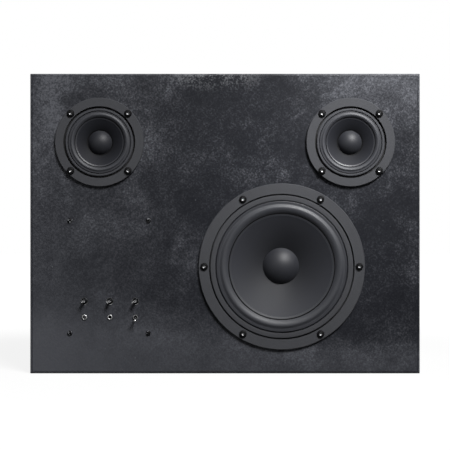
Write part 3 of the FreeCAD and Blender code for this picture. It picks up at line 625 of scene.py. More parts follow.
def new_finish(name, **constants):
    """A material with its shader, whose constant sockets are named by words joined with underscores."""
    material = bpy.data.materials.new(name)
    material.use_nodes = True
    shader = material.node_tree.nodes["Principled BSDF"]
    sockets = {socket.name.lower().replace(" ", "_"): socket for socket in shader.inputs}
    for label, given in constants.items():
        sockets[label].default_value = given
    return material, material.node_tree


def dress(material, base, rough=None, height=None, strength=0.0, distance=0.0):
    """Wires colour, roughness and relief to a material's shader, and gives the material back."""
    tree = material.node_tree
    shader = tree.nodes["Principled BSDF"]
    tree.links.new(base, shader.inputs["Base Color"])
    if rough is not None:
        tree.links.new(rough, shader.inputs["Roughness"])
    if height is not None:
        bump = add(tree, "ShaderNodeBump", {"Height": height, "Strength": strength, "Distance": distance})
        tree.links.new(bump.outputs["Normal"], shader.inputs["Normal"])
    return material


# Finishes, one for each material slot of the part and some for single pieces and faces

def edge_distance(tree, place):
    """How far each point of the cabinet is from the nearest edge between two of its faces."""
    low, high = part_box("cabinet_shell")
    gaps = []
    for side, label in enumerate("XYZ"):
        near = calculate(tree, "SUBTRACT", place[label], low[side])
        far = calculate(tree, "SUBTRACT", high[side], place[label])
        gaps.append(calculate(tree, "MINIMUM", near, far))
    smaller = calculate(tree, "MINIMUM", gaps[0], gaps[1])
    larger = calculate(tree, "MAXIMUM", gaps[0], gaps[1])
    return calculate(tree, "MAXIMUM", smaller, calculate(tree, "MINIMUM", larger, gaps[2]))


def near_point(tree, spot, point, reach):
    """1 at a point, falling to 0 at its reach."""
    away = add(tree, "ShaderNodeVectorMath", {0: spot, 1: point}, operation="DISTANCE").outputs["Value"]
    return ramp(tree, away, reach, 0.0)


def thin_coat(tree, spot, place):
    """Share by which the coat is paler, partly from wear and partly as painted light: along the foot, down the
    left side, from three corners and above the left driver. The upper right corner is a painted glow, and the left
    side and upper left corner a painted sheen."""
    low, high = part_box("cabinet_shell")
    sizes = bpy.context.scene.speaker_sizes
    across = ramp(tree, place["X"], low.x, high.x)
    foot = between(tree, across, sizes.worn_foot, sizes.worn_foot * 0.42)
    along_foot = ramp(tree, place["Z"], foot, calculate(tree, "DIVIDE", foot, 3.0))
    up = ramp(tree, place["Z"], high.z - sizes.worn_right, high.z)
    right = ramp(tree, place["X"], high.x - sizes.worn_right * 2, high.x - sizes.worn_right / 2)
    return layered(
        tree,
        (along_foot, 0.5),
        (ramp(tree, place["X"], low.x + sizes.worn_side, low.x), 0.2),
        (near_point(tree, spot, low, sizes.worn_left), 0.33),
        (near_point(tree, spot, (low.x, low.y, high.z), sizes.worn_left), 0.48),
        (near_point(tree, spot, (low.x / 2, low.y, high.z), sizes.worn_side), 0.16),
        # Painted glow on the upper right corner
        (product(tree, up, right), 0.8),
    )


def deep_coat(tree, spot):
    """Share by which the coat is darker: below the top edge's middle, at the right side and left of the woofer."""
    low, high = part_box("cabinet_shell")
    reach = bpy.context.scene.speaker_sizes.deep_reach
    deep = 0.0
    for across, up, wide, most in (
        (0.02, high.z - 0.03, 1.0, 1.0),
        (high.x, 0.25, 0.7, 1.0),
        (-0.012, 0.23, 0.7, 0.8),
    ):
        patch = near_point(tree, spot, (across, low.y, up), reach * wide)
        deep = calculate(tree, "MAXIMUM", deep, product(tree, patch, most))
    return deep


def bare_marks(tree, place, edge, texture):
    """Share of bare steel: specks, hairline scratches, rubbed edges, and flecks in the top edge's middle."""
    low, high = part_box("cabinet_shell")
    sizes = bpy.context.scene.speaker_sizes
    speck = effect(tree, "Scattered Specks", Spacing=0.009, Radius=0.09, Share=0.1)
    rising, falling = (
        effect(tree, "Straight Streaks", Angle=math.radians(angle), Width=0.0008, Length=0.03, Threshold=0.74)
        for angle in (24, -41)
    )
    marks = layered(tree, (speck, 0.3), (rising, 0.12), (falling, 0.12))
    patchy = ramp(tree, noise(tree, 0.02, detail=5.0, roughness=0.7), 0.35, 0.7)
    rubbed = product(tree, ramp(tree, edge, 0.0022, 0.0004), patchy, 0.4)
    marks = calculate(tree, "MAXIMUM", marks, rubbed)
    aside = calculate(tree, "ABSOLUTE", calculate(tree, "ADD", place["X"], sizes.worn_top / 2))
    flecks = product(
        tree,
        ramp(tree, texture, 0.8, 1.4),
        ramp(tree, place["Z"], high.z - sizes.worn_top, high.z),
        ramp(tree, aside, sizes.worn_span, sizes.worn_span / 4),
        ramp(tree, place["Y"], low.y + sizes.worn_top, low.y),
    )
    return calculate(tree, "MULTIPLY_ADD", flecks, 0.8, marks, True)


def black_steel(colours):
    """Blackened steel sheet: cloudy coat, close grain, wipes, a few scratches, specks and rubbed edges, a paler
    coat that is partly wear and partly painted light, and a dark line of painted shade where the sheet folds.
    """
    sizes = bpy.context.scene.speaker_sizes
    material, tree = new_finish("black_steel", specular_ior_level=0.22)
    spot = spot_on(tree)
    place = sides_of(tree, spot)
    broad = effect(tree, "Cloudy Patches", Size=0.07, Contrast=2.4)
    small = effect(tree, "Cloudy Patches", Size=0.018, Contrast=2.0)
    grain = effect(tree, "Fine Grain", Size=0.0018, Contrast=2.8)
    wipe = effect(tree, "Straight Streaks", Angle=math.radians(38), Width=0.004, Length=0.02,
                  Threshold=0.3, Softness=0.4)
    uneven = layered(tree, (broad, 0.36), (small, 0.2), (grain, 0.38), (wipe, 0.06))
    wear_and_light = thin_coat(tree, spot, place)
    even = near_point(tree, spot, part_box("cabinet_shell")[0], sizes.even_reach)
    # The mottling is weak near the lower left corner, where the coat is paler from wear and painted light, and
    # along the foot
    mottling = product(
        tree,
        calculate(tree, "SUBTRACT", uneven, 0.5),
        between(tree, even, 1.75, 0.4),
        between(tree, wear_and_light, 1.0, 0.35),
        ramp(tree, place["Z"], -sizes.worn_foot * 0.7, sizes.worn_foot),
    )
    spread = calculate(tree, "POWER", MOTTLING, mottling)
    depth = between(tree, deep_coat(tree, spot), 1.0, 0.5)
    thickness = product(tree, between(tree, wear_and_light, 0.095, 0.69), depth)
    coat = calculate(tree, "MULTIPLY", thickness, spread, clamp=True)
    base = tint(tree, coat, colours.steel_dark, colours.steel_pale)
    edge = edge_distance(tree, place)
    # Painted shade: a dark line along each edge where the sheet starts to fold
    fold = calculate(tree, "COMPARE", edge, sizes.fold_inset, sizes.fold_line / 2)
    base = tint(tree, product(tree, fold, 0.7), base, colours.steel_dark)
    marks = bare_marks(tree, place, edge, calculate(tree, "ADD", grain, small))
    base = tint(tree, marks, base, colours.steel_bare)
    relief = calculate(tree, "MULTIPLY_ADD", grain, 0.6, small)
    return dress(material, base, between(tree, uneven, 0.56, 0.4), relief, 0.15, 0.0004)


def cast_frame(colours):
    """Matte coating with a fine even grain over a casting, and painted shade in black below the face of the
    flange.
    """
    material, tree = new_finish("cast_frame", specular_ior_level=0.35)
    grain = effect(tree, "Fine Grain", Size=0.0011, Contrast=1.8)
    patch = effect(tree, "Cloudy Patches", Size=0.03, Contrast=1.4)
    shade = layered(tree, (patch, 0.25), (grain, 0.5))
    dark = times(colours.frame_grey, 0.72)
    pale = times(colours.frame_grey, 1.35)
    # Painted shade: everything behind the face of the flange is black
    face_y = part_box("woofer_basket")[0].y
    depth = sides_of(tree, spot_on(tree))["Y"]
    below = ramp(tree, depth, face_y + 0.0004, face_y + 0.0012)
    base = tint(tree, below, tint(tree, shade, dark, pale), colours.screw_black)
    return dress(material, base, between(tree, grain, 0.62, 0.78), grain, 0.25, 0.0003)


def darker_behind(tree, base, node, front, back):
    """A colour times a factor that goes from the front to the back of a node's box: painted shade, darker toward
    the back.
    """
    low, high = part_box(node)
    depth = sides_of(tree, spot_on(tree))["Y"]
    wires = {"Value": depth, "From Min": low.y, "From Max": high.y, "To Min": front, "To Max": back}
    factor = add(tree, "ShaderNodeMapRange", wires).outputs[0]
    wires = {0: 1.0, 6: base, 7: factor}
    return add(tree, "ShaderNodeMix", wires, data_type="RGBA", blend_type="MULTIPLY").outputs[2]


def soft_black(name, shade, rough_low, rough_high, grain_size, specular, behind=None):
    """Black rubber, paper or plastic with a faint bloom and a fine relief, with painted shade darker toward its
    back where that is given as a node and two factors."""
    material, tree = new_finish(name, specular_ior_level=specular)
    bloom = effect(tree, "Cloudy Patches", Size=0.025, Contrast=1.5)
    grain = effect(tree, "Fine Grain", Size=grain_size, Contrast=1.4)
    dark = times(shade, 0.8)
    pale = times(shade, 1.2)
    mixed = layered(tree, (bloom, 0.5), (grain, 0.5))
    dust = effect(tree, "Settled Dust", Amount=0.1)
    base = tint(tree, dust, tint(tree, mixed, dark, pale), bpy.context.scene.speaker_colours.dust_grey)
    if behind:
        base = darker_behind(tree, base, *behind)
    return dress(material, base, between(tree, bloom, rough_low, rough_high), grain, 0.1, 0.0002)


def chipped_screw(colours):
    """Black paint on a small screw, chipped to the bare steel; the bright chips also stand in for specks of
    reflection, as a painted glint.
    """
    material, tree = new_finish("chipped_screw", specular_ior_level=0.1)
    chip = ramp(tree, effect(tree, "Cloudy Patches", Size=0.0024, Contrast=3.0), 0.5, 0.8)
    base = tint(tree, chip, colours.screw_black, colours.steel_bare)
    return dress(material, base, between(tree, chip, 0.5, 0.36), chip, 0.2, 0.0002)


def black_screw(colours):
    """Black oxide on steel with a trace of wear."""
    material, tree = new_finish("black_screw", specular_ior_level=0.08)
    wear = effect(tree, "Cloudy Patches", Size=0.002, Contrast=2.0)
    grain = effect(tree, "Fine Grain", Size=0.0004, Contrast=1.6)
    base = tint(tree, product(tree, wear, 0.01), colours.screw_black, colours.steel_bright)
    return dress(material, base, between(tree, grain, 0.5, 0.62), grain, 0.08, 0.0001)


def metal(name, shade, rough_low, rough_high, patch_size):
    """Bare or plated metal with uneven polish."""
    material, tree = new_finish(name, metallic=1.0)
    polish = effect(tree, "Cloudy Patches", Size=patch_size, Contrast=1.8)
    grain = effect(tree, "Fine Grain", Size=0.0004, Contrast=1.6)
    base = tint(tree, polish, times(shade, 0.75), shade)
    return dress(material, base, between(tree, polish, rough_high, rough_low), grain, 0.06, 0.0001)


def bare_aluminium(colours):
    """Extruded aluminium with lines along its length."""
    material, tree = new_finish("bare_aluminium", metallic=1.0)
    line = effect(tree, "Ruled Lines", Direction=(1.0, 0.0, 0.0), Pitch=0.0005)
    polish = effect(tree, "Cloudy Patches", Size=0.01, Contrast=1.6)
    base = tint(tree, polish, (0.62, 0.63, 0.64, 1), (0.78, 0.78, 0.78, 1))
    return dress(material, base, between(tree, polish, 0.45, 0.3), line, 0.1, 0.0001)


def copper_coil(colours):
    """Enamelled copper, wound turn on turn."""
    material, tree = new_finish("copper_coil", metallic=1.0)
    line = effect(tree, "Ruled Lines", Direction=(0.0, 1.0, 0.0), Pitch=0.0003)
    base = tint(tree, line, (0.30, 0.11, 0.05, 1), (0.72, 0.33, 0.18, 1))
    return dress(material, base, between(tree, line, 0.4, 0.25), line, 0.5, 0.0001)


def spider_cloth(colours):
    """Resin-dipped woven cloth."""
    material, tree = new_finish("spider_cloth", specular_ior_level=0.3)
    warp = effect(tree, "Ruled Lines", Direction=(1.0, 0.0, 0.0), Pitch=0.0008)
    weft = effect(tree, "Ruled Lines", Direction=(0.0, 0.0, 1.0), Pitch=0.0008)
    weave = product(tree, warp, weft)
    base = tint(tree, weave, (0.12, 0.07, 0.025, 1), (0.42, 0.28, 0.12, 1))
    return dress(material, base, between(tree, weave, 0.75, 0.6), weave, 0.6, 0.0002)


def core_iron(colours):
    """Stacked transformer sheets under varnish."""
    material, tree = new_finish("core_iron", specular_ior_level=0.5)
    sheet = effect(tree, "Ruled Lines", Direction=(0.0, 1.0, 0.0), Pitch=0.0007)
    patch = effect(tree, "Cloudy Patches", Size=0.01, Contrast=1.6)
    base = tint(tree, patch, (0.05, 0.045, 0.04, 1), (0.12, 0.105, 0.09, 1))
    return dress(material, base, between(tree, sheet, 0.5, 0.35), sheet, 0.4, 0.0002)


def board_green(colours):
    """Circuit board: solder mask over fine copper tracks."""
    material, tree = new_finish("board_green", specular_ior_level=0.5)
    across = effect(tree, "Ruled Lines", Direction=(1.0, 0.0, 0.0), Pitch=0.0026)
    upward = effect(tree, "Ruled Lines", Direction=(0.0, 0.0, 1.0), Pitch=0.0031)
    area = ramp(tree, noise(tree, 0.022, detail=0.0), 0.49, 0.51)
    track = ramp(tree, fade(tree, area, across, upward), 0.55, 0.65)
    base = tint(tree, track, (0.006, 0.05, 0.018, 1), (0.02, 0.13, 0.045, 1))
    return dress(material, base, between(tree, track, 0.4, 0.3), track, 0.3, 0.0001)


def lamp_clear(colours):
    """Smoky lens of the unlit indicator."""
    material, tree = new_finish("lamp_clear", transmission_weight=0.45, ior=1.49, specular_ior_level=0.5)
    haze = effect(tree, "Cloudy Patches", Size=0.0012, Contrast=1.4)
    clear = times(colours.lens_smoke, 1.4)
    return dress(material, tint(tree, haze, colours.lens_smoke, clear), between(tree, haze, 0.12, 0.22))


def foam(colours):
    """Open-cell foam."""
    material, tree = new_finish("foam", specular_ior_level=0.1)
    cell = effect(tree, "Scattered Specks", Spacing=0.0018, Radius=0.36, Share=0.85)
    grain = effect(tree, "Fine Grain", Size=0.003, Contrast=1.8)
    base = tint(tree, cell, (0.06, 0.06, 0.065, 1), (0.02, 0.02, 0.022, 1))
    wall = calculate(tree, "SUBTRACT", 1.0, cell)
    return dress(material, base, between(tree, grain, 0.85, 0.97), wall, 0.6, 0.001)


# Black and soft: colour, roughness from and to, size of the grain, specular level, and the node and factors of the
# painted shade that darkens toward the back
SOFT_BLACKS = {
    "rubber": ("rubber_black", 0.5, 0.58, 0.0009, 0.5),
    "gasket": ("gasket_grey", 0.6, 0.72, 0.0012, 0.35),
    "cone_poly": ("cone_black", 0.62, 0.7, 0.0007, 0.32, ("woofer_cone", 1.3, 0.35)),
    "small_cone_poly": ("small_cone_black", 0.6, 0.68, 0.0007, 0.13, ("left_driver_cone", 1.45, 0.02)),
    "cap_poly": ("cap_black", 0.5, 0.56, 0.0006, 0.36),
    "lip_glue": ("lip_black", 0.44, 0.52, 0.0009, 0.5),
    "black_moulding": ("moulding_black", 0.36, 0.46, 0.0005, 0.5),
    "ferrite": ("ferrite_grey", 0.5, 0.66, 0.0015, 0.4),
    "can_sleeve": ("sleeve_blue", 0.28, 0.4, 0.002, 0.5),
}

# Bare or plated metal: colour, roughness where polished and where dull, and size of the patches
METALS = {
    # Painted glint: bright bare steel in the sockets
    "bare_socket": ("socket_steel", 0.44, 0.56, 0.001),
    "turned_steel": ("steel_bright", 0.36, 0.5, 0.003),
    "cut_steel": ("steel_bright", 0.58, 0.68, 0.0008),
    # Dark steel that is painted shade
    "oiled_steel": ("steel_oiled", 0.4, 0.55, 0.002),
    "bright_plate": ("plate_bright", 0.38, 0.5, 0.003),
    "zinc_steel": ("zinc_grey", 0.3, 0.5, 0.012),
}
OTHERS = {make.__name__: make for make in (
    black_steel, cast_frame, chipped_screw, black_screw, bare_aluminium, copper_coil, spider_cloth, core_iron,
    board_green, lamp_clear, foam,
)}


def finish(name):
    """The named finish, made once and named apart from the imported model's own materials."""
    return bpy.data.materials.get(name + "_finish") or make_finish(name)


def make_finish(name):
    """Makes a finish from its row in the lists above or with its own function."""
    colours = bpy.context.scene.speaker_colours
    if name in OTHERS:
        material = OTHERS[name](colours)
    else:
        make, rows = (metal, METALS) if name in METALS else (soft_black, SOFT_BLACKS)
        shade, *values = rows[name]
        material = make(name, getattr(colours, shade), *values)
    material.name = name + "_finish"
    return material


# Operators, one for each piece or group of like pieces

class SPEAKER_OT_solids(bpy.types.Operator):
    """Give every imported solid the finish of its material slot"""
    bl_idname = "speaker.solids"
    bl_label = "Finish Solids"

    def execute(self, context):
        for node, solid in frame["nodes"].items():
            solid.data.materials.clear()
            solid.data.materials.append(finish("gasket" if node == "back_seal" else SLOTS[node]))
        return {"FINISHED"}


class SPEAKER_OT_gaskets(bpy.types.Operator):
    """Turn the front gasket of each driver with rounded edges"""
    bl_idname = "speaker.gaskets"
    bl_label = "Front Gaskets"

    def execute(self, context):
        sizes = context.scene.speaker_sizes
        for driver in DRIVERS:
            node = f"{driver}_front_gasket"
            axis, points, foot, top = section_of(node, f"{driver}_basket")
            inner, outer = radii_at(points, top)
            outer -= sizes.gasket_play
            corners = [(outer, top), (inner, top), (inner, foot), (outer, foot)]
            outline = softened(corners, sizes.rubber_edge)
            finishes = ("gasket" if driver == "woofer" else "rubber", "black_screw")
            # Painted shade: all is black from the rounding of the inner edge on, over the inner wall, the
            # underside and the outer wall
            piece = turned_piece(f"{driver}_gasket_ring", finishes, outline, sizes.round_steps, axis,
                                 CORNER_POINTS + 1)
            stand_for(piece, node)
        return {"FINISHED"}


class SPEAKER_OT_surrounds(bpy.types.Operator):
    """Turn the half-roll surround of each driver, which stretches between the frame and the cone"""
    bl_idname = "speaker.surrounds"
    bl_label = "Surrounds"

    def execute(self, context):
        sizes = context.scene.speaker_sizes
        for driver in DRIVERS:
            self.make(driver, sizes)
        return {"FINISHED"}

    def make(self, driver, sizes):
        """One surround: half roll, the hem under the gasket and the feathered lip on the cone."""
        node = f"{driver}_surround"
        axis, points, seat, crest = section_of(node, f"{driver}_basket")
        axis, gasket_points, lip, gasket_top = section_of(f"{driver}_front_gasket", f"{driver}_basket")
        gasket_inner = radii_at(gasket_points, gasket_top)[0]
        radii = radii_at(points, lip)
        edge, roll_inner, roll_outer, hem = radii[0], radii[1], radii[-2], radii[-1]
        skin = lip - seat
        height = crest - lip
        crease = roll_inner - (roll_inner - edge) * LIP_CREASE
        floor = seat + sizes.lip_edge
        outline = swelled(roll_inner, gasket_inner - sizes.roll_play, lip, height)
        outline += [(hem, lip), (hem, seat)]
        outline += bowed((roll_outer - skin, seat), (roll_inner + skin, seat), height, 40)
        outline += [(edge, seat), (edge, floor)]
        groove = [(crease, lip), (crease + sizes.lip_edge, floor), (roll_inner, floor)]
        shoulder = math.ceil(ROLL_STEPS * ROLL_SHOULDER)
        # Rubber up to the shoulder, then the dark hem and lip, and black in the groove beside the roll as painted
        # shade
        piece = turned_piece(f"{driver}_half_roll", ("rubber", "lip_glue", "black_screw"), outline + groove,
                             sizes.round_steps, axis, shoulder, len(outline))
        stretch_for(piece, driver, node, roll_outer, roll_inner)


class SPEAKER_OT_spiders(bpy.types.Operator):
    """Show the corrugated spider of each driver as cloth that stretches between frame and voice coil"""
    bl_idname = "speaker.spiders"
    bl_label = "Spiders"

    def execute(self, context):
        for driver in DRIVERS:
            node = f"{driver}_spider"
            reaches = [reach for reach, level in rim_points(node, axis_of(f"{driver}_basket"))]
            piece = make_piece(packed_mesh(node), f"{driver}_spider_cloth", SLOTS[node])
            stretch_for(piece, driver, node, max(reaches), min(reaches))
        return {"FINISHED"}


class SPEAKER_OT_cones(bpy.types.Operator):
    """Turn the cone of each driver, black as a painted shadow round a small one's dust cap"""
    bl_idname = "speaker.cones"
    bl_label = "Cones"

    def execute(self, context):
        sizes = context.scene.speaker_sizes
        for driver in DRIVERS:
            node = f"{driver}_cone"
            axis, points, foot, rim = section_of(node, f"{driver}_basket")
            neck = min(radius for radius, level in points)
            neck_level = max(level for radius, level in points if radius < neck + MOVED_LITTLE)
            edge, hem = radii_at(points, rim)[0], radii_at(points, rim)[-1]
            under = min(level for radius, level in points if radius > hem - MOVED_LITTLE)
            paper = rim - under
            slope = (rim - neck_level) / (edge - neck)
            cap = half_width(f"{driver}_dust_cap")
            # Painted shadow: a small cone is black from just outside its dust cap inward
            cap_shadow = cap if driver == "woofer" else cap + sizes.glue_ring
            cap_shadow_level = neck_level + slope * (cap_shadow - neck)
            surface_points = [
                (neck, foot), (neck + paper, foot), (neck + paper, neck_level - paper * (1 - slope)),
                (edge, under), (hem, under), (hem, rim), (edge, rim),
            ]
            outline = softened(surface_points + [(cap_shadow, cap_shadow_level), (neck, neck_level)], paper / 3)
            finishes = ("cone_poly" if driver == "woofer" else "small_cone_poly", "black_screw")
            piece = turned_piece(f"{driver}_paper", finishes, outline, sizes.round_steps, axis,
                                 len(surface_points) * CORNER_POINTS)
            stand_for(piece, node)
        return {"FINISHED"}


class SPEAKER_OT_caps(bpy.types.Operator):
    """Turn the domed dust cap of each driver"""
    bl_idname = "speaker.caps"
    bl_label = "Dust Caps"

    def execute(self, context):
        sizes = context.scene.speaker_sizes
        for driver in DRIVERS:
            node = f"{driver}_dust_cap"
            axis, points, foot, top = section_of(node, f"{driver}_basket")
            radius = max(reach for reach, level in points)
            rim = max(level for reach, level in points if reach > radius - MOVED_LITTLE)
            on_axis = [level for reach, level in points if reach < MOVED_LITTLE]
            paper = top - max(level for level in on_axis if level < top - MOVED_LITTLE)
            outer = domed(radius, rim, top - rim, 36)
            inner = domed(radius - paper, foot, top - paper - foot, 24)
            outline = outer + inner[::-1]
            piece = turned_piece(f"{driver}_dome", ("cap_poly",), outline, sizes.round_steps // 2, axis)
            stand_for(piece, node)
        return {"FINISHED"}


def button_head(head, rise, shank, foot, seat, across):
    """Outlines of a button-head screw, radius and level: from its foot to the socket's mouth, and down the
    socket."""
    rim = rise * 0.22
    top = seat + rise
    flat = head * 0.48
    crown = []
    for step in range(9):
        share = math.pi / 2 * step / 8
        crown.append((flat + (head - flat) * math.cos(share), seat + rim + (rise - rim) * math.sin(share)))
    mouth = across / 2 * 1.2
    bevel = mouth - across / 2
    floor = top - rise * 0.62
    body = [
        (0, foot), (shank * 0.8, foot), (shank, foot + shank * 0.4), (shank, seat), (head * 0.97, seat),
        (head, seat + rim * 0.3), *crown, (mouth, top),
    ]
    socket = [
        (hexagon(across), top - bevel), (hexagon(across), floor),
        (hexagon(across * 0.9), floor - bevel * 0.3), (0, floor - across * 0.2),
    ]
    return body, socket


def foot_radius(node, at, head, foot, facing):
    """Radius of one screw's shank, from the vertices at its foot."""
    reaches = []
    for vertex in frame["nodes"][node].data.vertices:
        if abs(facing * (vertex.co.y - at.y) - foot) < MOVED_LITTLE:
            reaches.append(math.hypot(vertex.co.x - at.x, vertex.co.z - at.z))
    return max(reach for reach in reaches if reach < head)


def make_screws(node, name, facing, plane_y, seat, across, finishes):
    """Every screw of a set, each turned by its own angle, as one piece."""
    bm = bmesh.new()
    for number, (low, high) in enumerate(separate_boxes(node)):
        at = Vector(((low.x + high.x) / 2, plane_y, (low.z + high.z) / 2))
        near, far = sorted((facing * (low.y - plane_y), facing * (high.y - plane_y)))
        head = (high.x - low.x) / 2
        shank = foot_radius(node, at, head, near, facing)
        body, socket = button_head(head, far - seat, shank, near, seat, across)
        turn(bm, body + socket, SCREW_STEPS, at, len(body), facing=facing, spin=number * SCREW_TURN)
    stand_for(make_piece(bm, name, *finishes), node)


class SPEAKER_OT_driver_screws(bpy.types.Operator):
    """Make the socket screws that hold each driver to the panel"""
    bl_idname = "speaker.driver_screws"
    bl_label = "Driver Screws"

    def execute(self, context):
        across = context.scene.speaker_sizes.driver_hex
        for driver in DRIVERS:
            flange = PANEL_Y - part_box(f"{driver}_basket")[0].y
            make_screws(f"{driver}_screws", f"{driver}_socket_screws", TO_FRONT, PANEL_Y, flange, across,
                        ("black_screw", "bare_socket"))
        return {"FINISHED"}


class SPEAKER_OT_module_screws(bpy.types.Operator):
    """Make the four small screws that hold the amplifier module"""
    bl_idname = "speaker.module_screws"
    bl_label = "Module Screws"

    def execute(self, context):
        across = context.scene.speaker_sizes.module_hex
        make_screws("module_screws", "module_socket_screws", TO_FRONT, PANEL_Y, 0.0, across,
                    ("chipped_screw", "black_screw"))
        return {"FINISHED"}


class SPEAKER_OT_back_screws(bpy.types.Operator):
    """Make the screws of the back panel"""
    bl_idname = "speaker.back_screws"
    bl_label = "Back Screws"

    def execute(self, context):
        across = context.scene.speaker_sizes.back_hex
        make_screws("back_screws", "back_socket_screws", TO_BACK, BACK_Y, 0.0, across,
                    ("black_screw", "bare_socket"))
        return {"FINISHED"}


class SPEAKER_OT_fittings(bpy.types.Operator):
    """Round the edges of the bezel, the socket, the switch and the control bushings"""
    bl_idname = "speaker.fittings"
    bl_label = "Fittings"

    def execute(self, context):
        rounding = context.scene.speaker_sizes.fitting_edge
        bushings = [f"{control}_control" for control in CONTROLS]
        for node in ("indicator_bezel", "line_socket", "power_switch", *bushings):
            bm = packed_mesh(node)
            bmesh.ops.dissolve_limit(bm, angle_limit=FLAT_ANGLE, verts=bm.verts, edges=bm.edges)
            sharp = [edge for edge in bm.edges if edge.is_manifold and edge.calc_face_angle() > SHARP_ANGLE]
            bmesh.ops.bevel(bm, geom=sharp, offset=rounding, segments=4, profile=0.5, affect="EDGES",
                            clamp_overlap=True)
            # Painted shade: each face more than two roundings back from the front is black, inside the holes and
            # round the bodies
            inside = min(vertex.co.y for vertex in bm.verts) + rounding * 2
            for face in bm.faces:
                face.material_index = int(face.calc_center_median().y > inside)
            # Painted shade: the bushings are dark steel
            surface = "oiled_steel" if node in bushings else SLOTS[node]
            stand_for(make_piece(bm, f"{node}_rounded", surface, "black_moulding"), node)
        return {"FINISHED"}


class SPEAKER_OT_washers(bpy.types.Operator):
    """Turn the dished washer between each control's bushing and the hole in the panel"""
    bl_idname = "speaker.washers"
    bl_label = "Control Washers"

    def execute(self, context):
        sizes = context.scene.speaker_sizes
        for control in CONTROLS:
            node = f"{control}_control"
            axis, points, *levels = section_of(node, f"{control}_shaft")
            bushing = max(reach for reach, level in points if level > levels[1] - sizes.washer_dish)
            panel_points = rim_points("cabinet_shell", axis)
            hole = min(reach for reach, level in panel_points if abs(level) < MOVED_LITTLE)
            inner = bushing + sizes.washer_play
            outer = hole - sizes.washer_play
            high = -sizes.washer_play
            low = high - sizes.washer_dish
            sheet = sizes.washer_sheet
            outline = [(inner, low - sheet), (outer, high - sheet), (outer, high), (inner, low)]
            piece = turned_piece(f"{control}_washer", ("turned_steel",), outline, WASHER_STEPS, axis)
            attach(piece, BODIES[node])
        return {"FINISHED"}


class SPEAKER_OT_shafts(bpy.types.Operator):
    """Turn the three stepped and fluted control shafts and slot their ends"""
    bl_idname = "speaker.shafts"
    bl_label = "Control Shafts"

    def execute(self, context):
        sizes = context.scene.speaker_sizes
        for control in CONTROLS:
            self.make(control, sizes)
        return {"FINISHED"}

    def make(self, control, sizes):
        """One shaft: plain in its bushing, thinner and fluted above it, with a bevelled and slotted end."""
        node = f"{control}_shaft"
        axis, points, foot, top = section_of(node, node)
        radius = max(reach for reach, level in points)
        step = PANEL_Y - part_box(f"{control}_control")[0].y
        thin = radius * sizes.shaft_step
        bevel = radius - max(reach for reach, level in points if level > top - MOVED_LITTLE)
        flutes = fluted(thin, sizes.knurl_depth, sizes.knurl_count)
        outline = [
            (0, foot), (radius, foot), (radius, step - bevel), (radius - bevel, step), (thin, step),
            (flutes, step + bevel), (flutes, top - bevel), (thin - bevel, top), (0, top),
        ]
        # Painted shade on the flank, a bright cut end
        piece = turned_piece(f"{control}_fluted_shaft", ("oiled_steel", "cut_steel"), outline,
                             sizes.knurl_count * FLUTE_STEPS, axis, len(outline) - 2)
        self.cut_slot(piece, axis, top, thin, sizes)
        stand_for(piece, node)

    def cut_slot(self, piece, axis, top, radius, sizes):
        """Cuts the upright slot across the end of a shaft."""
        bm = bmesh.new()
        bmesh.ops.create_cube(bm, size=1)
        bmesh.ops.scale(bm, vec=(sizes.slot_width, sizes.slot_depth * 2, radius * 3), verts=bm.verts)
        cutter = make_piece(bm, "slot_cutter", "oiled_steel")
        cutter.location = (axis.x, PANEL_Y - top, axis.z)
        cut = piece.modifiers.new("Slot", "BOOLEAN")
        cut.object = cutter
        cut.solver = "EXACT"
        bpy.context.view_layer.update()
        shape = piece.evaluated_get(bpy.context.evaluated_depsgraph_get())
        mesh = bpy.data.meshes.new_from_object(shape)
        mesh.name = piece.data.name
        mesh.shade_smooth()
        mesh.set_sharp_from_angle(angle=SHARP_ANGLE)
        piece.modifiers.clear()
        piece.data = mesh
        bpy.data.objects.remove(cutter)


class SPEAKER_OT_lamp(bpy.types.Operator):
    """Turn the domed lens of the indicator light"""
    bl_idname = "speaker.lamp"
    bl_label = "Indicator Lens"

    def execute(self, context):
        node = "indicator_lamp"
        axis, points, foot, top = section_of(node, node)
        radius = max(reach for reach, level in points)
        shoulder = max(level for reach, level in points if reach > radius - MOVED_LITTLE)
        outline = [(0, foot), (radius * 0.94, foot), (radius, foot + radius * 0.1)]
        outline += domed(radius, shoulder, top - shoulder, 16)
        stand_for(turned_piece("indicator_lens", ("lamp_clear",), outline, LENS_STEPS, axis), node)
        return {"FINISHED"}


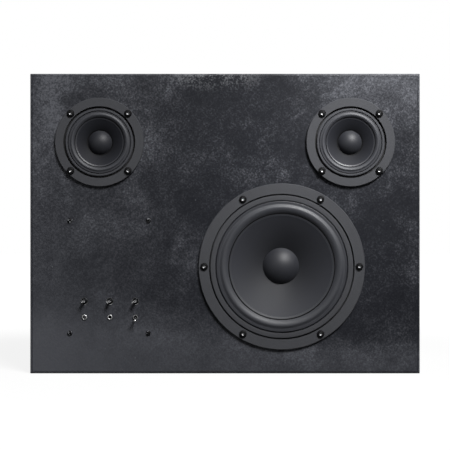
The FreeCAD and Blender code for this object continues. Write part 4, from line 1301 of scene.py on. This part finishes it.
class SPEAKER_OT_lever(bpy.types.Operator):
    """Turn the toggle lever with its cross pin, tilted as it rests"""
    bl_idname = "speaker.lever"
    bl_label = "Toggle Lever"

    def execute(self, context):
        node = "power_lever"
        joint = next(item for item in frame["joints"] if item["name"] == "power_flip")
        pivot = Vector(joint["pos_m"])
        corners = [vertex.co - pivot for vertex in frame["nodes"][node].data.vertices]
        reach = max(corner.length for corner in corners)
        near_tip = reach * 0.985
        tip = sum((corner for corner in corners if corner.length > near_tip), Vector())
        direction = tip.normalized()
        levels = [corner.dot(direction) for corner in corners]
        spans = [(corner - direction * level).length for corner, level in zip(corners, levels)]
        ball = max(span for span, level in zip(spans, levels) if level > reach / 2)
        tail = min(levels)
        neck = max(span for span, level in zip(spans, levels) if level < tail + MOVED_LITTLE)
        neck_end = reach * 0.22
        ends = [(0, tail), (neck, tail), (neck, neck_end), (ball, reach - ball)]
        neck_points = softened(ends, neck / 4)[CORNER_POINTS:-CORNER_POINTS]
        neck_points.insert(0, (0, tail))
        bm = bmesh.new()
        outline = neck_points + domed(ball, reach - ball, ball, 14)
        turn(bm, outline, LEVER_STEPS, Vector(), len(neck_points))
        spin = Vector((0, -1, 0)).rotation_difference(direction).to_matrix().to_4x4()
        bmesh.ops.transform(bm, matrix=spin, verts=bm.verts)
        half = half_width(node)
        pin = max(math.hypot(corner.y, corner.z) for corner in corners if corner.x > half - MOVED_LITTLE)
        bmesh.ops.create_cone(bm, cap_ends=True, segments=24, radius1=pin, radius2=pin, depth=half * 2,
                              matrix=Matrix.Rotation(math.pi / 2, 4, "Y"))
        bmesh.ops.translate(bm, vec=pivot, verts=bm.verts)
        # Painted shade on the lever's neck, a bright plated tip
        stand_for(make_piece(bm, "toggle_bat", "oiled_steel", "bright_plate"), node)
        return {"FINISHED"}


class SPEAKER_OT_stage(bpy.types.Operator):
    """Set the pale floor, the soft lamps, the white surroundings and the camera"""
    bl_idname = "speaker.stage"
    bl_label = "Stage"

    def execute(self, context):
        stage = context.scene.speaker_stage
        context.scene.view_settings.view_transform = "Standard"
        self.lay_floor(stage)
        self.light_room(context.scene, stage)
        middle = (0, PANEL_Y, stage.eye_height)
        key = self.hang("key_lamp", "AREA", stage.key_power, stage.key_place, middle)
        key.size = stage.key_size
        fill = self.hang("fill_lamp", "AREA", stage.fill_power, stage.fill_place, middle)
        fill.size = stage.fill_size
        glow = self.hang("glow_lamp", "SPOT", stage.glow_power, stage.glow_place, stage.glow_aim)
        glow.spot_size = stage.glow_angle
        glow.spot_blend = 1.0
        glow.shadow_soft_size = stage.glow_size
        self.place_camera(context.scene, stage)
        return {"FINISHED"}

    def lay_floor(self, stage):
        """Pale floor: it shows as white, and keeps the shadow close to the object."""
        bm = bmesh.new()
        bmesh.ops.create_grid(bm, x_segments=1, y_segments=1, size=stage.floor_size / 2)
        material, tree = new_finish("floor_paper", roughness=0.9, specular_ior_level=0.0)
        path = add(tree, "ShaderNodeLightPath")
        spot = spot_on(tree)
        away = add(tree, "ShaderNodeVectorMath", {0: spot}, operation="LENGTH").outputs["Value"]
        # The white is a little weaker near the object, so that its shadow shows
        white = between(tree, ramp(tree, away, 0.35, 1.0), 0.88, 1.0)
        clear = calculate(tree, "MAXIMUM", path.outputs["Is Camera Ray"], path.outputs["Is Transmission Ray"])
        fibre = effect(tree, "Fine Grain", Size=0.004, Contrast=0.5)
        dress(material, tint(tree, fibre, (0.11, 0.11, 0.11, 1), (0.13, 0.13, 0.13, 1)))
        glow = add(tree, "ShaderNodeEmission", {"Strength": product(tree, clear, white)})
        paper = tree.nodes["Principled BSDF"]
        lit = add(tree, "ShaderNodeAddShader", {0: paper.outputs[0], 1: glow.outputs[0]})
        depth = sides_of(tree, spot)["Y"]
        room = between(tree, ramp(tree, depth, PANEL_Y, -PANEL_Y), stage.room, 1.0)
        gloss = add(tree, "ShaderNodeEmission", {"Strength": room})
        wires = {0: path.outputs["Is Glossy Ray"], 1: lit.outputs[0], 2: gloss.outputs[0]}
        both = add(tree, "ShaderNodeMixShader", wires)
        tree.links.new(both.outputs[0], tree.nodes["Material Output"].inputs["Surface"])
        floor = make_piece(bm, "floor")
        floor.data.materials.append(material)
        floor.location.z = -stage.floor_drop

    def light_room(self, scene, stage):
        """White surroundings for the camera, glass and gloss, dim in front of the object, and soft light from
        all round."""
        scene.world = bpy.data.worlds.new("studio")
        scene.world.use_nodes = True
        tree = scene.world.node_tree
        path = add(tree, "ShaderNodeLightPath")
        toward = add(tree, "ShaderNodeTexCoord").outputs["Generated"]
        depth = sides_of(tree, toward)["Y"]
        room = between(tree, ramp(tree, depth, 0.1, 0.8), stage.room, 1.0)
        level = fade(tree, path.outputs["Is Glossy Ray"], stage.ambient, room)
        clear = calculate(tree, "MAXIMUM", path.outputs["Is Camera Ray"], path.outputs["Is Transmission Ray"])
        level = fade(tree, clear, level, 1.0)
        tree.links.new(level, tree.nodes["Background"].inputs["Strength"])
        tree.nodes["Background"].inputs["Color"].default_value = (1, 1, 1, 1)

    def hang(self, name, kind, watts, at, target):
        """Hangs a lamp at a place, turned to a point."""
        lamp = bpy.data.lights.new(name, kind)
        lamp.energy = watts
        holder = bpy.data.objects.new(name, lamp)
        holder.location = at
        holder.rotation_mode = "QUATERNION"
        holder.rotation_quaternion = (Vector(target) - Vector(at)).to_track_quat("-Z", "Y")
        bpy.context.scene.collection.objects.link(holder)
        return lamp

    def place_camera(self, scene, stage):
        """Camera square to the front panel."""
        lens = bpy.data.cameras.new("camera")
        lens.sensor_width = stage.sensor
        lens.lens = stage.sensor * stage.distance / stage.field
        camera = bpy.data.objects.new("camera", lens)
        camera.location = (0, PANEL_Y - stage.distance, stage.eye_height)
        camera.rotation_euler = (math.pi / 2, 0, 0)
        scene.collection.objects.link(camera)
        scene.camera = camera


class SPEAKER_PT_pieces(bpy.types.Panel):
    """Lists the speaker's pieces and their sizes and colours"""
    bl_idname = "SPEAKER_PT_pieces"
    bl_label = "Powered Speaker"
    bl_space_type = "VIEW_3D"
    bl_region_type = "UI"
    bl_category = "Speaker"

    def draw(self, context):
        for operator in OPERATORS:
            self.layout.operator(operator.bl_idname)
        for name, group in GROUPS.items():
            box = self.layout.box()
            for label in group.__annotations__:
                box.prop(getattr(context.scene, name), label)


OPERATORS = (
    SPEAKER_OT_solids, SPEAKER_OT_gaskets, SPEAKER_OT_surrounds, SPEAKER_OT_spiders, SPEAKER_OT_cones,
    SPEAKER_OT_caps, SPEAKER_OT_driver_screws, SPEAKER_OT_module_screws, SPEAKER_OT_back_screws,
    SPEAKER_OT_fittings, SPEAKER_OT_washers, SPEAKER_OT_shafts, SPEAKER_OT_lamp, SPEAKER_OT_lever,
    SPEAKER_OT_stage,
)
GROUPS = {
    "speaker_sizes": SpeakerSizes,
    "speaker_colours": SpeakerColours,
    "speaker_stage": SpeakerStage,
}


def register():
    """Registers the classes and hangs the properties on the scene."""
    for made in (*GROUPS.values(), *OPERATORS, SPEAKER_PT_pieces):
        bpy.utils.register_class(made)
    for name, group in GROUPS.items():
        setattr(bpy.types.Scene, name, PointerProperty(type=group))


def unregister():
    """Takes the properties and classes away again."""
    for name in GROUPS:
        delattr(bpy.types.Scene, name)
    for made in (SPEAKER_PT_pieces, *reversed(OPERATORS), *GROUPS.values()):
        bpy.utils.unregister_class(made)


def main():
    """Makes every piece and the stage."""
    register()
    bpy.ops.speaker.solids()
    bpy.ops.speaker.gaskets()
    bpy.ops.speaker.surrounds()
    bpy.ops.speaker.spiders()
    bpy.ops.speaker.cones()
    bpy.ops.speaker.caps()
    bpy.ops.speaker.driver_screws()
    bpy.ops.speaker.module_screws()
    bpy.ops.speaker.back_screws()
    bpy.ops.speaker.fittings()
    bpy.ops.speaker.washers()
    bpy.ops.speaker.shafts()
    bpy.ops.speaker.lamp()
    bpy.ops.speaker.lever()
    bpy.ops.speaker.stage()


if __name__ == "__main__":
    main()
